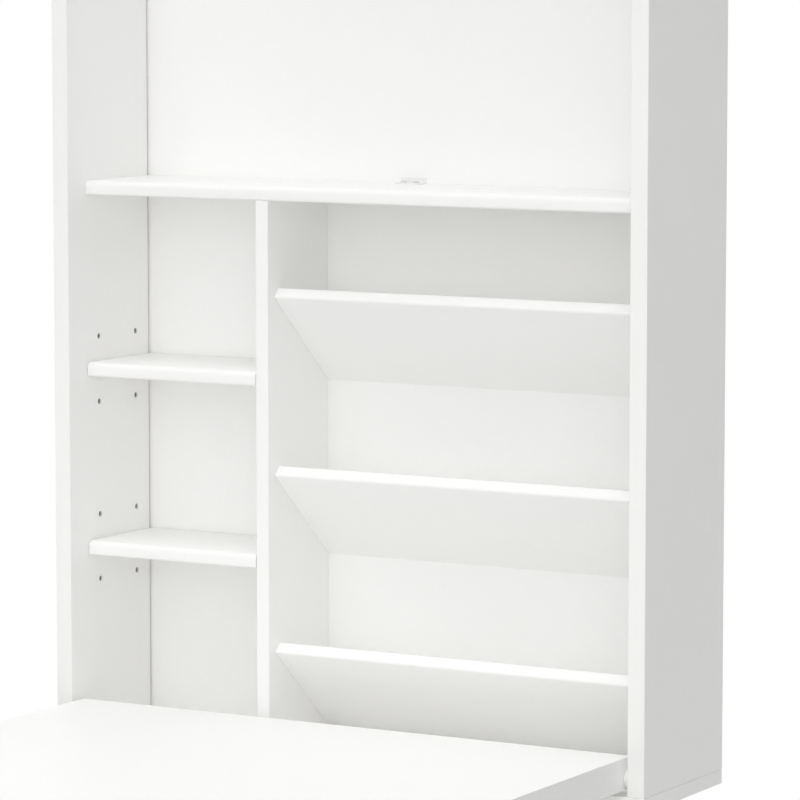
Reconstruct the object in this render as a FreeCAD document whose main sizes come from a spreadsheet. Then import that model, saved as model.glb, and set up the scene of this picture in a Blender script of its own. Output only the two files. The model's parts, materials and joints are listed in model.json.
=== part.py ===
import FreeCAD, Part
import os
import re
import Sketcher

# Fold-down wall desk: a shallow wall cabinet whose inset front folds down on two pivot pins to
# make a desk, carried at its far end by a leg frame that folds into the desk's underside.
#
# Millimetres. +X is to the right as seen from the room, +Y towards the wall, +Z up. The origin is
# on the wall, at the middle of the upper hanging rail's screw line. The desk is drawn open.

SIZES = [
    # the cabinet
    ("width", 560, "outside width"),
    ("depth", 144, "wall to the front edges of the sides"),
    ("height", 965, "outside height"),
    ("side_thickness", 15, "left and right side panels"),
    ("end_thickness", 12, "top and bottom panels, which lie over and under the sides"),
    ("board_thickness", 12, "divider and fixed shelf"),
    ("shelf_thickness", 12, "adjustable shelves and pocket boards"),
    ("set_back", 27, "interior boards behind the front plane, room for the closed desk"),
    ("edge_radius", 0.8, "softened front edges of the panels and divider"),
    ("nose_radius", 4.5, "rounded upper front edges of the shelves and pocket boards"),
    ("nose_ease", 2, "their lower front edges"),
    # the back
    ("rail_thickness", 15, "hanging rails, between the back panel and the wall"),
    ("upper_rail_height", 80, "upper hanging rail"),
    ("lower_rail_height", 60, "lower rail, which bears on the wall"),
    ("screw_spacing", 406.4, "wall screws, side to side, as wall studs stand"),
    ("screw_hole_radius", 3, "wall screw holes"),
    ("back_thickness", 4, "back panel"),
    ("groove_depth", 6, "grooves for the back panel in the sides, top and bottom"),
    ("groove_play", 1.5, "open slot in front of the back panel"),
    ("groove_end_play", 1, "back panel's edge to the bottom of its groove"),
    # shelves
    ("left_bay", 169, "left side to the divider"),
    ("fixed_shelf_rise", 474, "underside of the fixed shelf above the cabinet's bottom"),
    ("shelf_side_play", 0.7, "adjustable shelf to the wall beside it"),
    ("shelf_back_play", 1, "adjustable shelf to the back panel"),
    ("upper_pin_rise", 324, "middle row of the upper shelf's pin holes"),
    ("lower_pin_rise", 170.5, "middle row of the lower shelf's pin holes"),
    ("pin_pitch", 28, "pin hole rows, up and down"),
    ("pin_front", 46, "front pin holes behind the front plane"),
    ("pin_spacing", 57, "front to rear pin holes"),
    ("pin_radius", 2.5, "shelf pins and their holes"),
    ("pin_depth", 8, "pin in the wall, and again in the shelf"),
    ("pin_drop", 5, "pin's axis above the shelf's underside"),
    ("notch_play", 0.2, "pin to each side of the shelf's notch"),
    # paper pockets
    ("pocket_heel_rise", 5.7, "lowest pocket board's heel above the bottom panel"),
    ("pocket_pitch", 149.5, "pocket boards, one above the other"),
    ("pocket_front", 37, "pocket boards' front lower edge behind the front plane"),
    ("pocket_lean", 41, "pocket boards' slope below the horizontal, degrees"),
    # desk
    ("desk_top_thickness", 8, "desk top board"),
    ("desk_rail_thickness", 18, "frame of rails under the desk top"),
    ("desk_side_gap", 3.5, "desk to each side panel"),
    ("desk_under_gap", 5, "desk to the bottom panel"),
    ("desk_end_gap", 2, "closed desk to the top panel"),
    ("desk_edge_radius", 7.5, "rounded upper rear edge of the desk top"),
    ("desk_far_radius", 2, "rounded upper far and side edges of the desk top"),
    ("heel_radius", 4, "rounded lower rear edge of the desk"),
    ("side_rail_width", 35, "desk side rails"),
    ("rear_rail_width", 60, "desk rear rail"),
    ("front_rail_width", 40, "desk front rail"),
    ("batten_width", 60, "batten under the middle of the desk top, inside the folded leg frame"),
    ("batten_end_gap", 2, "batten's ends to the folded leg's uprights"),
    # pivots
    ("pivot_rise", 9, "pivot axis above the desk's underside"),
    ("pivot_heel", 11, "pivot axis to the desk's rear edge"),
    ("pivot_radius", 4, "pivot pins"),
    ("pivot_clearance", 0.05, "pivot pins in their bushes"),
    ("pivot_seat", 10, "pivot pin in the side panel"),
    ("bush_wall", 2, "pivot bush"),
    ("bush_length", 28, "pivot bush"),
    ("spacer_radius", 8.5, "spacer ring between desk and side panel"),
    ("running_gap", 0.3, "faces that pass each other"),
    ("glue_gap", 0.02, "dowels, screws and bushes in their holes"),
    # leg frame
    ("desk_level", 740, "desk top above the floor"),
    ("leg_thickness", 15, "leg frame"),
    ("leg_sink", 0.5, "folded leg above the desk's underside"),
    ("leg_side_gap", 1, "leg frame to each desk side rail"),
    ("stile_width", 40, "leg uprights"),
    ("leg_top_rail_height", 50, "leg frame's upper rail"),
    ("leg_top_rail_drop", 12, "leg's pivot axis to the upper rail"),
    ("leg_foot_rail_height", 40, "leg frame's lower rail"),
    ("leg_foot_rail_rise", 60, "lower rail above the floor"),
    ("foot_thickness", 3, "foot pads"),
    ("leg_pin_radius", 3, "leg pivot pins"),
    ("leg_pin_seat", 20, "leg pivot pin in the desk's side rail"),
    ("leg_bush_wall", 1.5, "leg pivot bush"),
    ("leg_bush_length", 22, "leg pivot bush"),
    # joining hardware
    ("dowel_radius", 3, "dowels in the thicker boards"),
    ("small_dowel_radius", 2.5, "dowels in the pocket boards"),
    ("dowel_depth", 8, "dowel in a panel's face"),
    ("divider_dowel_depth", 6, "pocket board's dowel in the divider"),
    ("dowel_reach", 20, "dowel in a board's end"),
    ("hole_spare", 0.5, "dowel and pin holes beyond what they hold"),
    ("dowel_inset", 20, "dowels from a board's front or back edge"),
    ("screw_inset", 42, "carcase screws from the sides' front and back edges"),
    ("rail_dowel_inset", 12, "dowels from the edges of the desk and leg rails"),
    ("rear_dowel_inset", 32, "desk rear rail's second dowel from its front edge"),
    ("hanging_dowel_inset", 18, "dowels from a hanging rail's upper and lower edges"),
    ("pocket_dowel_front", 22, "pocket board's front dowel along the slope"),
    ("pocket_dowel_back", 68, "pocket board's back dowel along the slope"),
    ("screw_radius", 2.5, "carcase screws"),
    ("screw_head_radius", 5, "carcase screw heads"),
    ("screw_head_depth", 3, "carcase screw heads"),
    ("screw_reach", 38, "carcase screws in the sides' ends"),
    ("cam_radius", 6, "cam locks"),
    ("cam_depth", 9.5, "cam locks"),
    ("cam_inset", 24, "cam lock's axis to the shelf's end"),
    ("cam_bolt_radius", 2, "cam bolts"),
    ("cam_slot_length", 7, "driver slot in the cam locks"),
    ("cam_slot_width", 1.6, "driver slot in the cam locks"),
    ("cam_slot_depth", 2, "driver slot in the cam locks"),
    ("brad_radius", 0.7, "back panel brads"),
    ("brad_head_radius", 1.5, "back panel brads"),
    ("brad_head_thickness", 0.6, "back panel brads"),
    ("brad_reach", 14, "brads beyond the back panel"),
    ("brad_spread", 100, "inner brads either side of the middle of the fixed shelf"),
    ("brad_outer", 60, "outer brads from the sides"),
    ("brad_pitch", 130, "brads up the divider"),
    # catches and small fittings
    ("catch_spread", 150, "catches either side of the middle"),
    ("catch_width", 46, "catch body"),
    ("catch_height", 20, "catch body"),
    ("catch_depth", 14, "catch body"),
    ("catch_pole_proud", 0.6, "catch poles in front of their body"),
    ("strike_thickness", 1, "strike plates"),
    ("strike_inset", 10, "strike plates' middle to the desk's far end"),
    ("strike_length", 34, "strike plates"),
    ("strike_width", 12, "strike plates"),
    ("knob_radius", 12, "pull knob"),
    ("knob_height", 18, "pull knob"),
    ("knob_neck_radius", 6.5, "pull knob"),
    ("knob_screw_radius", 2, "pull knob's screw"),
    ("magnet_radius", 6, "leg magnets"),
    ("magnet_thickness", 5, "leg magnets"),
    ("magnet_spread", 120, "leg magnets either side of the middle"),
    ("plate_radius", 8, "leg catch plates"),
    ("plate_thickness", 1.6, "leg catch plates"),
    ("small_screw_radius", 1.5, "screws of the small fittings"),
    ("small_screw_reach", 6, "screws of the small fittings, below their plate"),
    ("small_head_radius", 2.6, "heads of the small fittings' screws"),
    ("small_head_height", 1.2, "pan heads of the bracket's screws"),
    ("strike_screw_spread", 11, "strike plate's screws either side of its middle"),
    ("catch_screw_spread", 17, "catch's screws either side of its middle"),
    ("catch_screw_reach", 8, "catch's screws in the top panel"),
    ("catch_mouth_width", 24, "opening of the catch body"),
    ("catch_mouth_height", 9, "opening of the catch body"),
    ("catch_mouth_depth", 8, "opening of the catch body"),
    ("pole_thickness", 1.5, "catch pole plates"),
    ("pin_end_gap", 1, "pivot pin's end to the end of its bush"),
    ("knob_neck_height", 8, "pull knob"),
    ("knob_edge_radius", 3.5, "pull knob"),
    ("knob_screw_reach", 12, "knob's screw in the rail"),
    ("knob_screw_hold", 9, "knob's screw in the knob"),
    ("foot_inset", 2, "foot pads from the uprights' edges"),
    ("foot_edge", 1, "foot pads from the uprights' faces"),
    ("bracket_screw_spread", 6, "bracket's screws either side of its middle"),
    ("bracket_screw_step", 7, "bracket's screws in front of the back panel"),
    ("bracket_width", 24, "steadying bracket on the fixed shelf"),
    ("bracket_foot", 12, "bracket on the shelf"),
    ("bracket_rise", 5, "bracket up the back panel"),
    ("bracket_thickness", 1.2, "bracket's plate"),
]

doc = FreeCAD.newDocument("FoldDownWallDesk")
sheet = doc.addObject("Spreadsheet::Sheet", "Sizes")
for row, (alias, size, meaning) in enumerate(SIZES, start=1):
    sheet.set(f"A{row}", meaning)
    sheet.set(f"B{row}", str(size))
    sheet.setAlias(f"B{row}", alias)
doc.recompute()

ALIASES = {alias for alias, size, meaning in SIZES}

# ---- places worked out from the sizes, as expressions ----
BASE = "(end_thickness + upper_rail_height / 2 - height)"
FLOOR_TOP = f"({BASE} + end_thickness)"
ROOF = f"({BASE} + height - end_thickness)"
TOP = f"({BASE} + height)"
OUTER = "(width / 2)"
INNER = "(width / 2 - side_thickness)"
FRONT = "(0 - depth)"
BOARD_FRONT = "(set_back - depth)"
BACK_FACE = "(0 - rail_thickness - back_thickness)"
DIVIDER_LEFT = f"(left_bay - {INNER})"
DIVIDER_RIGHT = f"({DIVIDER_LEFT} + board_thickness)"
SHELF_LOW = f"({BASE} + fixed_shelf_rise)"
SHELF_HIGH = f"({SHELF_LOW} + board_thickness)"
DESK_LOW = f"({FLOOR_TOP} + desk_under_gap)"
RECESS_TOP = f"({DESK_LOW} + desk_rail_thickness)"
DESK_HIGH = f"({RECESS_TOP} + desk_top_thickness)"
DESK_SIDE = f"({INNER} - desk_side_gap)"
RAIL_INNER = f"({DESK_SIDE} - side_rail_width)"
PIVOT_Y = f"({FRONT} + pivot_rise)"
PIVOT_Z = f"({DESK_LOW} + pivot_rise)"
DESK_REAR = f"({PIVOT_Y} + pivot_heel)"
DESK_FAR = f"({PIVOT_Y} - ({ROOF} - desk_end_gap - {PIVOT_Z}))"
FRONT_RAIL_REAR = f"({DESK_FAR} + front_rail_width)"
REAR_RAIL_FRONT = f"({DESK_REAR} - rear_rail_width)"
LEG_Y = f"({FRONT_RAIL_REAR} + running_gap + leg_thickness / 2)"
LEG_Z = f"({DESK_LOW} + leg_sink + leg_thickness / 2)"
GROUND = f"({DESK_HIGH} - desk_level)"
FOOT = f"({GROUND} + foot_thickness)"
LEG_SIDE = f"({RAIL_INNER} - leg_side_gap)"
STILE_INNER = f"({LEG_SIDE} - stile_width)"
FOOT_RAIL_LOW = f"({GROUND} + leg_foot_rail_rise)"
FOOT_RAIL_MIDDLE = f"({FOOT_RAIL_LOW} + leg_foot_rail_height / 2)"
POCKET_NAMES = ("lower", "middle", "upper")


def bind(text):
    """The expression with each size written as a reference to its cell."""
    return re.sub(r"[a-z_]+", lambda word: f"Sizes.{word[0]}" if word[0] in ALIASES else word[0], text)


def value(text):
    """What an expression is worth now, in millimetres or degrees."""
    return float(sheet.evalExpression(bind(text)))


def negative(text):
    return f"(0 - {text})"


# ---- sketches and features of a PartDesign body ----
PLANES = {"X": ("YZ_Plane", ""), "Y": ("XZ_Plane", "0 - "), "Z": ("XY_Plane", "")}


def new_body(label):
    return doc.addObject("PartDesign::Body", label)


def new_sketch(body, across, level):
    """A sketch square to the axis named across, at that level along it."""
    role, sense = PLANES[across]
    sketch = body.newObject("Sketcher::SketchObject", "Profile")
    plane = next(feature for feature in body.Origin.OriginFeatures if feature.Role == role)
    sketch.AttachmentSupport = (plane, [""])
    sketch.MapMode = "FlatFace"
    sketch.setExpression("AttachmentOffset.Base.z", bind(f"{sense}({level})"))
    return sketch


def locate(sketch, geometry, point, u, v):
    """Ties a point of the sketch to expressions for its two coordinates."""
    for kind, text in (("DistanceX", u), ("DistanceY", v)):
        index = sketch.addConstraint(Sketcher.Constraint(kind, -1, 1, geometry, point, value(text)))
        sketch.setExpression(f"Constraints[{index}]", bind(text))


def polygon(sketch, corners):
    """Straight lines through corners, each a pair of expressions."""
    points = [FreeCAD.Vector(value(u), value(v), 0) for u, v in corners]
    first = sketch.GeometryCount
    for number, point in enumerate(points):
        sketch.addGeometry(Part.LineSegment(point, points[(number + 1) % len(points)]))
    for number in range(len(points)):
        following = first + (number + 1) % len(points)
        sketch.addConstraint(Sketcher.Constraint("Coincident", first + number, 2, following, 1))
    for number, (u, v) in enumerate(corners):
        locate(sketch, first + number, 1, u, v)


def rectangle(sketch, u_low, u_high, v_low, v_high):
    """Four sides, tied to expressions for where they stand."""
    corners = [(value(u_low), value(v_low)), (value(u_high), value(v_low)),
               (value(u_high), value(v_high)), (value(u_low), value(v_high))]
    points = [FreeCAD.Vector(u, v, 0) for u, v in corners]
    first = sketch.GeometryCount
    for number, point in enumerate(points):
        sketch.addGeometry(Part.LineSegment(point, points[(number + 1) % 4]))
    for number, kind in enumerate(("Horizontal", "Vertical", "Horizontal", "Vertical")):
        following = first + (number + 1) % 4
        sketch.addConstraint(Sketcher.Constraint("Coincident", first + number, 2, following, 1))
        sketch.addConstraint(Sketcher.Constraint(kind, first + number))
    locate(sketch, first, 1, u_low, v_low)
    locate(sketch, first + 2, 1, u_high, v_high)


def circle(sketch, u, v, radius):
    centre = FreeCAD.Vector(value(u), value(v), 0)
    index = sketch.addGeometry(Part.Circle(centre, FreeCAD.Vector(0, 0, 1), value(radius)))
    locate(sketch, index, 3, u, v)
    ring = sketch.addConstraint(Sketcher.Constraint("Radius", index, value(radius)))
    sketch.setExpression(f"Constraints[{ring}]", bind(radius))


def pad(body, sketch, length, backwards=False):
    feature = body.newObject("PartDesign::Pad", "Pad")
    feature.Profile = sketch
    feature.setExpression("Length", bind(length))
    feature.Reversed = backwards
    return feature


def pocket(body, sketch, depth, towards_plus):
    """Cuts the sketch into the body, towards + or - along the sketch's own axis."""
    feature = body.newObject("PartDesign::Pocket", "Pocket")
    feature.Profile = sketch
    feature.setExpression("Length", bind(depth))
    feature.Reversed = towards_plus
    return feature


def board(label, x, y, z):
    """A flat board between three pairs of expressions."""
    body = new_body(label)
    sketch = new_sketch(body, "Z", z[0])
    rectangle(sketch, x[0], x[1], y[0], y[1])
    pad(body, sketch, f"{z[1]} - {z[0]}")
    doc.recompute()
    return body


def bores(body, across, level, towards_plus, depth, radius, centres):
    """Round blind holes into a face square to the axis named across.

    A sketch square to Y looks along -Y, so its own plus direction is turned round."""
    sketch = new_sketch(body, across, level)
    for u, v in centres:
        circle(sketch, u, v, radius)
    own_plus = towards_plus if across != "Y" else not towards_plus
    pocket(body, sketch, depth, own_plus)
    doc.recompute()


def slot(body, across, level, towards_plus, depth, u, v):
    """A rectangular cut into a face square to the axis named across."""
    sketch = new_sketch(body, across, level)
    rectangle(sketch, u[0], u[1], v[0], v[1])
    own_plus = towards_plus if across != "Y" else not towards_plus
    pocket(body, sketch, depth, own_plus)
    doc.recompute()


def round_edges(body, radius, chosen):
    """Rounds each edge whose two ends and middle pass the test chosen."""
    tip = body.Tip
    names = []
    for number, edge in enumerate(tip.Shape.Edges, start=1):
        ends = [vertex.Point for vertex in edge.Vertexes]
        if len(ends) == 2 and all(chosen(point) for point in ends):
            names.append(f"Edge{number}")
    fillet = body.newObject("PartDesign::Fillet", "Eased")
    fillet.Base = (tip, names)
    fillet.setExpression("Radius", bind(radius))
    doc.recompute()


def ease_front(body, level):
    """Softens the edges round the face that looks at the room, which stands at y = level."""
    plane = value(level)
    round_edges(body, "edge_radius", lambda point: abs(point.y - plane) < 1e-6)


def round_nose(body, under, over):
    """Eases a board's lower front edge and rounds its upper one; each is that edge's y and z."""
    for radius, (y, z) in (("nose_ease", under), ("nose_radius", over)):
        edge_y, edge_z = value(y), value(z)
        round_edges(body, radius, lambda point: abs(point.y - edge_y) + abs(point.z - edge_z) < 1e-6)


# ---- round pieces ----
TURNS = {
    "X": FreeCAD.Rotation(FreeCAD.Vector(0, 1, 0), 90),
    "Y": FreeCAD.Rotation(FreeCAD.Vector(1, 0, 0), -90),
    "Z": FreeCAD.Rotation(),
}


def place(item, along, start):
    """Stands an item at start, three expressions, with its own z along + the named axis."""
    item.Placement = FreeCAD.Placement(FreeCAD.Vector(), TURNS[along])
    for coordinate, text in zip("xyz", start):
        item.setExpression(f"Placement.Base.{coordinate}", bind(text))


def rod(name, along, start, length, radius):
    item = doc.addObject("Part::Cylinder", name)
    item.setExpression("Height", bind(length))
    item.setExpression("Radius", bind(radius))
    place(item, along, start)
    return item


def fused(name, pieces):
    item = doc.addObject("Part::MultiFuse", name)
    item.Shapes = pieces
    return item


def group(label, pieces):
    """Identical separate pieces kept together as one node."""
    item = doc.addObject("Part::Compound", label)
    item.Links = pieces
    return item


def ring(label, along, start, length, outer, inner):
    """A bush or spacer: a tube standing from start along + the named axis."""
    body = new_body(label)
    flat = {"X": (start[1], start[2]), "Y": (start[0], start[2]), "Z": (start[0], start[1])}[along]
    level = start["XYZ".index(along)]
    sketch = new_sketch(body, along, level)
    circle(sketch, flat[0], flat[1], outer)
    circle(sketch, flat[0], flat[1], inner)
    pad(body, sketch, length, backwards=along == "Y")
    doc.recompute()
    return body


# ---- what several pieces share ----
BOTH = (("left", "0 - "), ("right", ""))
PANEL_Y = (FRONT, "0")
BOARD_Y = (BOARD_FRONT, BACK_FACE)
SIDE_MIDDLE = f"({INNER} + side_thickness / 2)"
SHELF_MIDDLE = f"({SHELF_LOW} + board_thickness / 2)"
DIVIDER_MIDDLE = f"({DIVIDER_LEFT} + board_thickness / 2)"
RAIL_MIDDLE_Y = "(0 - rail_thickness / 2)"
DESK_RAIL_MIDDLE = f"({DESK_LOW} + desk_rail_thickness / 2)"
CARCASE_DOWEL_Y = (f"({FRONT} + dowel_inset)", "(0 - dowel_inset - rail_thickness)")
CARCASE_SCREW_Y = (f"({FRONT} + screw_inset)", "(0 - screw_inset - rail_thickness)")
BOARD_DOWEL_Y = (f"({BOARD_FRONT} + dowel_inset)", f"({BACK_FACE} - dowel_inset)")
CAM_Y = f"(({BOARD_FRONT} + {BACK_FACE}) / 2)"
PIN_Y = (f"({FRONT} + pin_front)", f"({FRONT} + pin_front + pin_spacing)")
PIN_ROWS = [f"({BASE} + {shelf}_pin_rise + {step} * pin_pitch)"
            for shelf in ("upper", "lower") for step in (-1, 0, 1)]
HANGING_RAILS = {
    "upper": (f"({ROOF} - upper_rail_height)", ROOF),
    "lower": (FLOOR_TOP, f"({FLOOR_TOP} + lower_rail_height)"),
}
WALL_SCREWS = [(f"({sign}screw_spacing / 2)", "0") for _, sign in BOTH]
HANGING_DOWEL_Z = [text for low, high in HANGING_RAILS.values()
                   for text in (f"({low} + hanging_dowel_inset)", f"({high} - hanging_dowel_inset)")]
GROOVE_Y = (f"({BACK_FACE} - groove_play)", "(0 - rail_thickness)")
PANEL_EDGE = "(groove_depth - groove_end_play)"
DESK_RAILS = {
    "rear": (REAR_RAIL_FRONT, DESK_REAR),
    "front": (DESK_FAR, FRONT_RAIL_REAR),
}
DESK_DOWEL_Y = [
    f"({REAR_RAIL_FRONT} + rail_dowel_inset)", f"({REAR_RAIL_FRONT} + rear_dowel_inset)",
    f"({DESK_FAR} + rail_dowel_inset)", f"({FRONT_RAIL_REAR} - rail_dowel_inset)",
]
LEG_FACES = (f"({LEG_Y} - leg_thickness / 2)", f"({LEG_Y} + leg_thickness / 2)")
LEG_RAILS = {
    "top": (f"({LEG_Z} - leg_top_rail_drop - leg_top_rail_height)", f"({LEG_Z} - leg_top_rail_drop)"),
    "foot": (FOOT_RAIL_LOW, f"({FOOT_RAIL_LOW} + leg_foot_rail_height)"),
}
LEG_DOWEL_Z = [text for low, high in LEG_RAILS.values()
               for text in (f"({low} + rail_dowel_inset)", f"({high} - rail_dowel_inset)")]
MAGNET_Y = f"({LEG_Y} + {LEG_Z} - {FOOT_RAIL_MIDDLE})"
BATTEN_Y = f"({LEG_Y} + {LEG_Z} - ({LEG_RAILS['top'][0]} + {LEG_RAILS['foot'][1]}) / 2)"
STRIKE_Y = f"({DESK_FAR} + strike_inset)"
CLOSED_FACE = f"({PIVOT_Y} + {DESK_HIGH} - {PIVOT_Z})"
POLE_FRONT = f"({CLOSED_FACE} + running_gap)"
STRIKE_SEAT = f"({DESK_HIGH} - strike_thickness)"
CATCH_FRONT = f"({POLE_FRONT} + catch_pole_proud)"
CATCH_Z = f"({PIVOT_Z} + {PIVOT_Y} - {STRIKE_Y})"
DOWEL_HOLE = "dowel_radius + glue_gap"
SMALL_DOWEL_HOLE = "small_dowel_radius + glue_gap"
FACE_HOLE_DEPTH = "dowel_depth + hole_spare"
END_HOLE_DEPTH = "dowel_reach + hole_spare"
SMALL_SCREW_HOLE = "small_screw_radius + glue_gap"
SMALL_HEAD_HOLE = "small_head_radius + glue_gap"


SHELF_BRADS = [(f"({sign}{place})", SHELF_MIDDLE)
               for place in ("brad_spread", f"({INNER} - brad_outer)") for _, sign in BOTH]
DIVIDER_BRADS = [(DIVIDER_MIDDLE, f"({FLOOR_TOP} + {step} * brad_pitch)") for step in (1, 2, 3)]
POCKET_FRONT = f"({FRONT} + pocket_front)"
CATCH_MIDDLE_Y = f"({CATCH_FRONT} + catch_depth / 2)"
KNOB_Y = f"({DESK_FAR} + front_rail_width / 2)"


def pocket_heel(number):
    """Level of a pocket board's lower back edge, on the back panel, counted from the lowest board."""
    return f"({FLOOR_TOP} + pocket_heel_rise + {number} * pocket_pitch)"


def pocket_rise(number):
    """Level of a pocket board's front lower edge."""
    return f"({pocket_heel(number)} + ({BACK_FACE} - {POCKET_FRONT}) * tan(pocket_lean))"


def pocket_point(number, along):
    """A point on a pocket board's middle plane, that far down the slope: its y and z."""
    y = f"({POCKET_FRONT} + ({along}) * cos(pocket_lean) + shelf_thickness / 2 * sin(pocket_lean))"
    z = f"({pocket_rise(number)} - ({along}) * sin(pocket_lean) + shelf_thickness / 2 * cos(pocket_lean))"
    return y, z


POCKET_DOWELS = [pocket_point(number, along) for number in range(3)
                 for along in ("pocket_dowel_front", "pocket_dowel_back")]


# ---- the cabinet's boards ----
def side_panel(name, sign):
    """Side panel with its inner face grooved for the back and bored for pins and dowels."""
    inner, outer = f"({sign}{INNER})", f"({sign}{OUTER})"
    outward = name == "right"
    low, high = (inner, outer) if outward else (outer, inner)
    body = board(f"{name}_side_panel", (low, high), PANEL_Y, (FLOOR_TOP, ROOF))
    slot(body, "X", inner, outward, "groove_depth", GROOVE_Y, (FLOOR_TOP, ROOF))
    shelf_dowels = [(y, SHELF_MIDDLE) for y in BOARD_DOWEL_Y]
    rail_dowels = [(RAIL_MIDDLE_Y, z) for z in HANGING_DOWEL_Z]
    bores(body, "X", inner, outward, FACE_HOLE_DEPTH, DOWEL_HOLE, shelf_dowels + rail_dowels)
    bores(body, "X", inner, outward, FACE_HOLE_DEPTH, "cam_bolt_radius + glue_gap", [(CAM_Y, SHELF_MIDDLE)])
    bores(body, "X", inner, outward, "pivot_seat + hole_spare", "pivot_radius + glue_gap",
          [(PIVOT_Y, PIVOT_Z)])
    if outward:
        bores(body, "X", inner, True, FACE_HOLE_DEPTH, SMALL_DOWEL_HOLE, POCKET_DOWELS)
    else:
        holes = [(y, z) for y in PIN_Y for z in PIN_ROWS]
        bores(body, "X", inner, False, "pin_depth", "pin_radius", holes)
    for level, upward in ((FLOOR_TOP, True), (ROOF, False)):
        middle = f"({sign}{SIDE_MIDDLE})"
        bores(body, "Z", level, upward, END_HOLE_DEPTH, DOWEL_HOLE, [(middle, y) for y in CARCASE_DOWEL_Y])
        bores(body, "Z", level, upward, "screw_reach + hole_spare", "screw_radius + glue_gap",
              [(middle, y) for y in CARCASE_SCREW_Y])
    ease_front(body, FRONT)
    return body


def end_panel(name, z, face, upward):
    """Top or bottom panel: face is the side towards the cabinet's inside."""
    body = board(name, (negative(OUTER), OUTER), PANEL_Y, z)
    reach = f"({INNER} + groove_depth)"
    slot(body, "Z", face, upward, "groove_depth", (negative(reach), reach), GROOVE_Y)
    ends = [f"({sign}{SIDE_MIDDLE})" for _, sign in BOTH]
    dowels = [(x, y) for x in ends for y in CARCASE_DOWEL_Y]
    if not upward:
        dowels += [(DIVIDER_MIDDLE, y) for y in BOARD_DOWEL_Y]
    bores(body, "Z", face, upward, FACE_HOLE_DEPTH, DOWEL_HOLE, dowels)
    screws = [(x, y) for x in ends for y in CARCASE_SCREW_Y]
    bores(body, "Z", face, upward, "end_thickness", "screw_radius + glue_gap", screws)
    outside = z[0] if not upward else z[1]
    bores(body, "Z", outside, not upward, "screw_head_depth", "screw_head_radius + glue_gap", screws)
    if upward:
        lower = [(f"({sign}catch_spread + {step} * catch_screw_spread)", CATCH_MIDDLE_Y)
                 for _, sign in BOTH for step in (-1, 1)]
        bores(body, "Z", face, True, "catch_screw_reach + hole_spare", SMALL_SCREW_HOLE, lower)
    ease_front(body, FRONT)
    return body


def back_panel():
    reach = f"({INNER} + {PANEL_EDGE})"
    body = board("back_panel", (negative(reach), reach), (BACK_FACE, "(0 - rail_thickness)"),
                 (f"({FLOOR_TOP} - {PANEL_EDGE})", f"({ROOF} + {PANEL_EDGE})"))
    bores(body, "Y", "0 - rail_thickness", False, "back_thickness", "screw_hole_radius", WALL_SCREWS)
    bores(body, "Y", "0 - rail_thickness", False, "back_thickness", "brad_radius + glue_gap",
          SHELF_BRADS + DIVIDER_BRADS)
    return body


def divider():
    body = board("divider", (DIVIDER_LEFT, DIVIDER_RIGHT), BOARD_Y, (FLOOR_TOP, SHELF_LOW))
    holes = [(y, z) for y in PIN_Y for z in PIN_ROWS]
    bores(body, "X", DIVIDER_LEFT, True, "pin_depth", "pin_radius", holes)
    bores(body, "X", DIVIDER_RIGHT, False, "divider_dowel_depth + hole_spare", SMALL_DOWEL_HOLE,
          POCKET_DOWELS)
    for level, upward in ((FLOOR_TOP, True), (SHELF_LOW, False)):
        bores(body, "Z", level, upward, END_HOLE_DEPTH, DOWEL_HOLE,
              [(DIVIDER_MIDDLE, y) for y in BOARD_DOWEL_Y])
    bores(body, "Y", BACK_FACE, False, "brad_reach", "brad_radius + glue_gap", DIVIDER_BRADS)
    ease_front(body, BOARD_FRONT)
    return body


def fixed_shelf():
    body = board("fixed_shelf", (negative(INNER), INNER), BOARD_Y, (SHELF_LOW, SHELF_HIGH))
    for _, sign in BOTH:
        inward_is_plus = sign != ""
        bores(body, "X", f"{sign}{INNER}", inward_is_plus, END_HOLE_DEPTH, DOWEL_HOLE,
              [(y, SHELF_MIDDLE) for y in BOARD_DOWEL_Y])
        bores(body, "X", f"{sign}{INNER}", inward_is_plus, "cam_inset", "cam_bolt_radius + glue_gap",
              [(CAM_Y, SHELF_MIDDLE)])
    cams = [(f"({sign}({INNER} - cam_inset))", CAM_Y) for _, sign in BOTH]
    bores(body, "Z", SHELF_LOW, True, "cam_depth", "cam_radius + glue_gap", cams)
    bores(body, "Z", SHELF_LOW, True, FACE_HOLE_DEPTH, DOWEL_HOLE,
          [(DIVIDER_MIDDLE, y) for y in BOARD_DOWEL_Y])
    bores(body, "Z", SHELF_HIGH, False, "small_screw_reach", SMALL_SCREW_HOLE, bracket_screw_places())
    bores(body, "Y", BACK_FACE, False, "brad_reach", "brad_radius + glue_gap", SHELF_BRADS)
    round_nose(body, (BOARD_FRONT, SHELF_LOW), (BOARD_FRONT, SHELF_HIGH))
    return body


def adjustable_shelf(shelf):
    """Loose shelf whose notched ends sit over four pins and hide them."""
    low = f"({BASE} + {shelf}_pin_rise - pin_drop)"
    ends = (f"({negative(INNER)} + shelf_side_play)", f"({DIVIDER_LEFT} - shelf_side_play)")
    high = f"({low} + shelf_thickness)"
    body = board(f"adjustable_shelf_{shelf}", ends, (BOARD_FRONT, f"({BACK_FACE} - shelf_back_play)"),
                 (low, high))
    reach = "(pin_depth + notch_play)"
    notches = ((ends[0], f"({negative(INNER)} + {reach})"), (f"({DIVIDER_LEFT} - {reach})", ends[1]))
    for y in PIN_Y:
        for notch in notches:
            slot(body, "Z", low, True, "pin_drop + pin_radius", notch,
                 (f"({y} - pin_radius - notch_play)", f"({y} + pin_radius + notch_play)"))
    round_nose(body, (BOARD_FRONT, low), (BOARD_FRONT, high))
    return body


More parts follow.
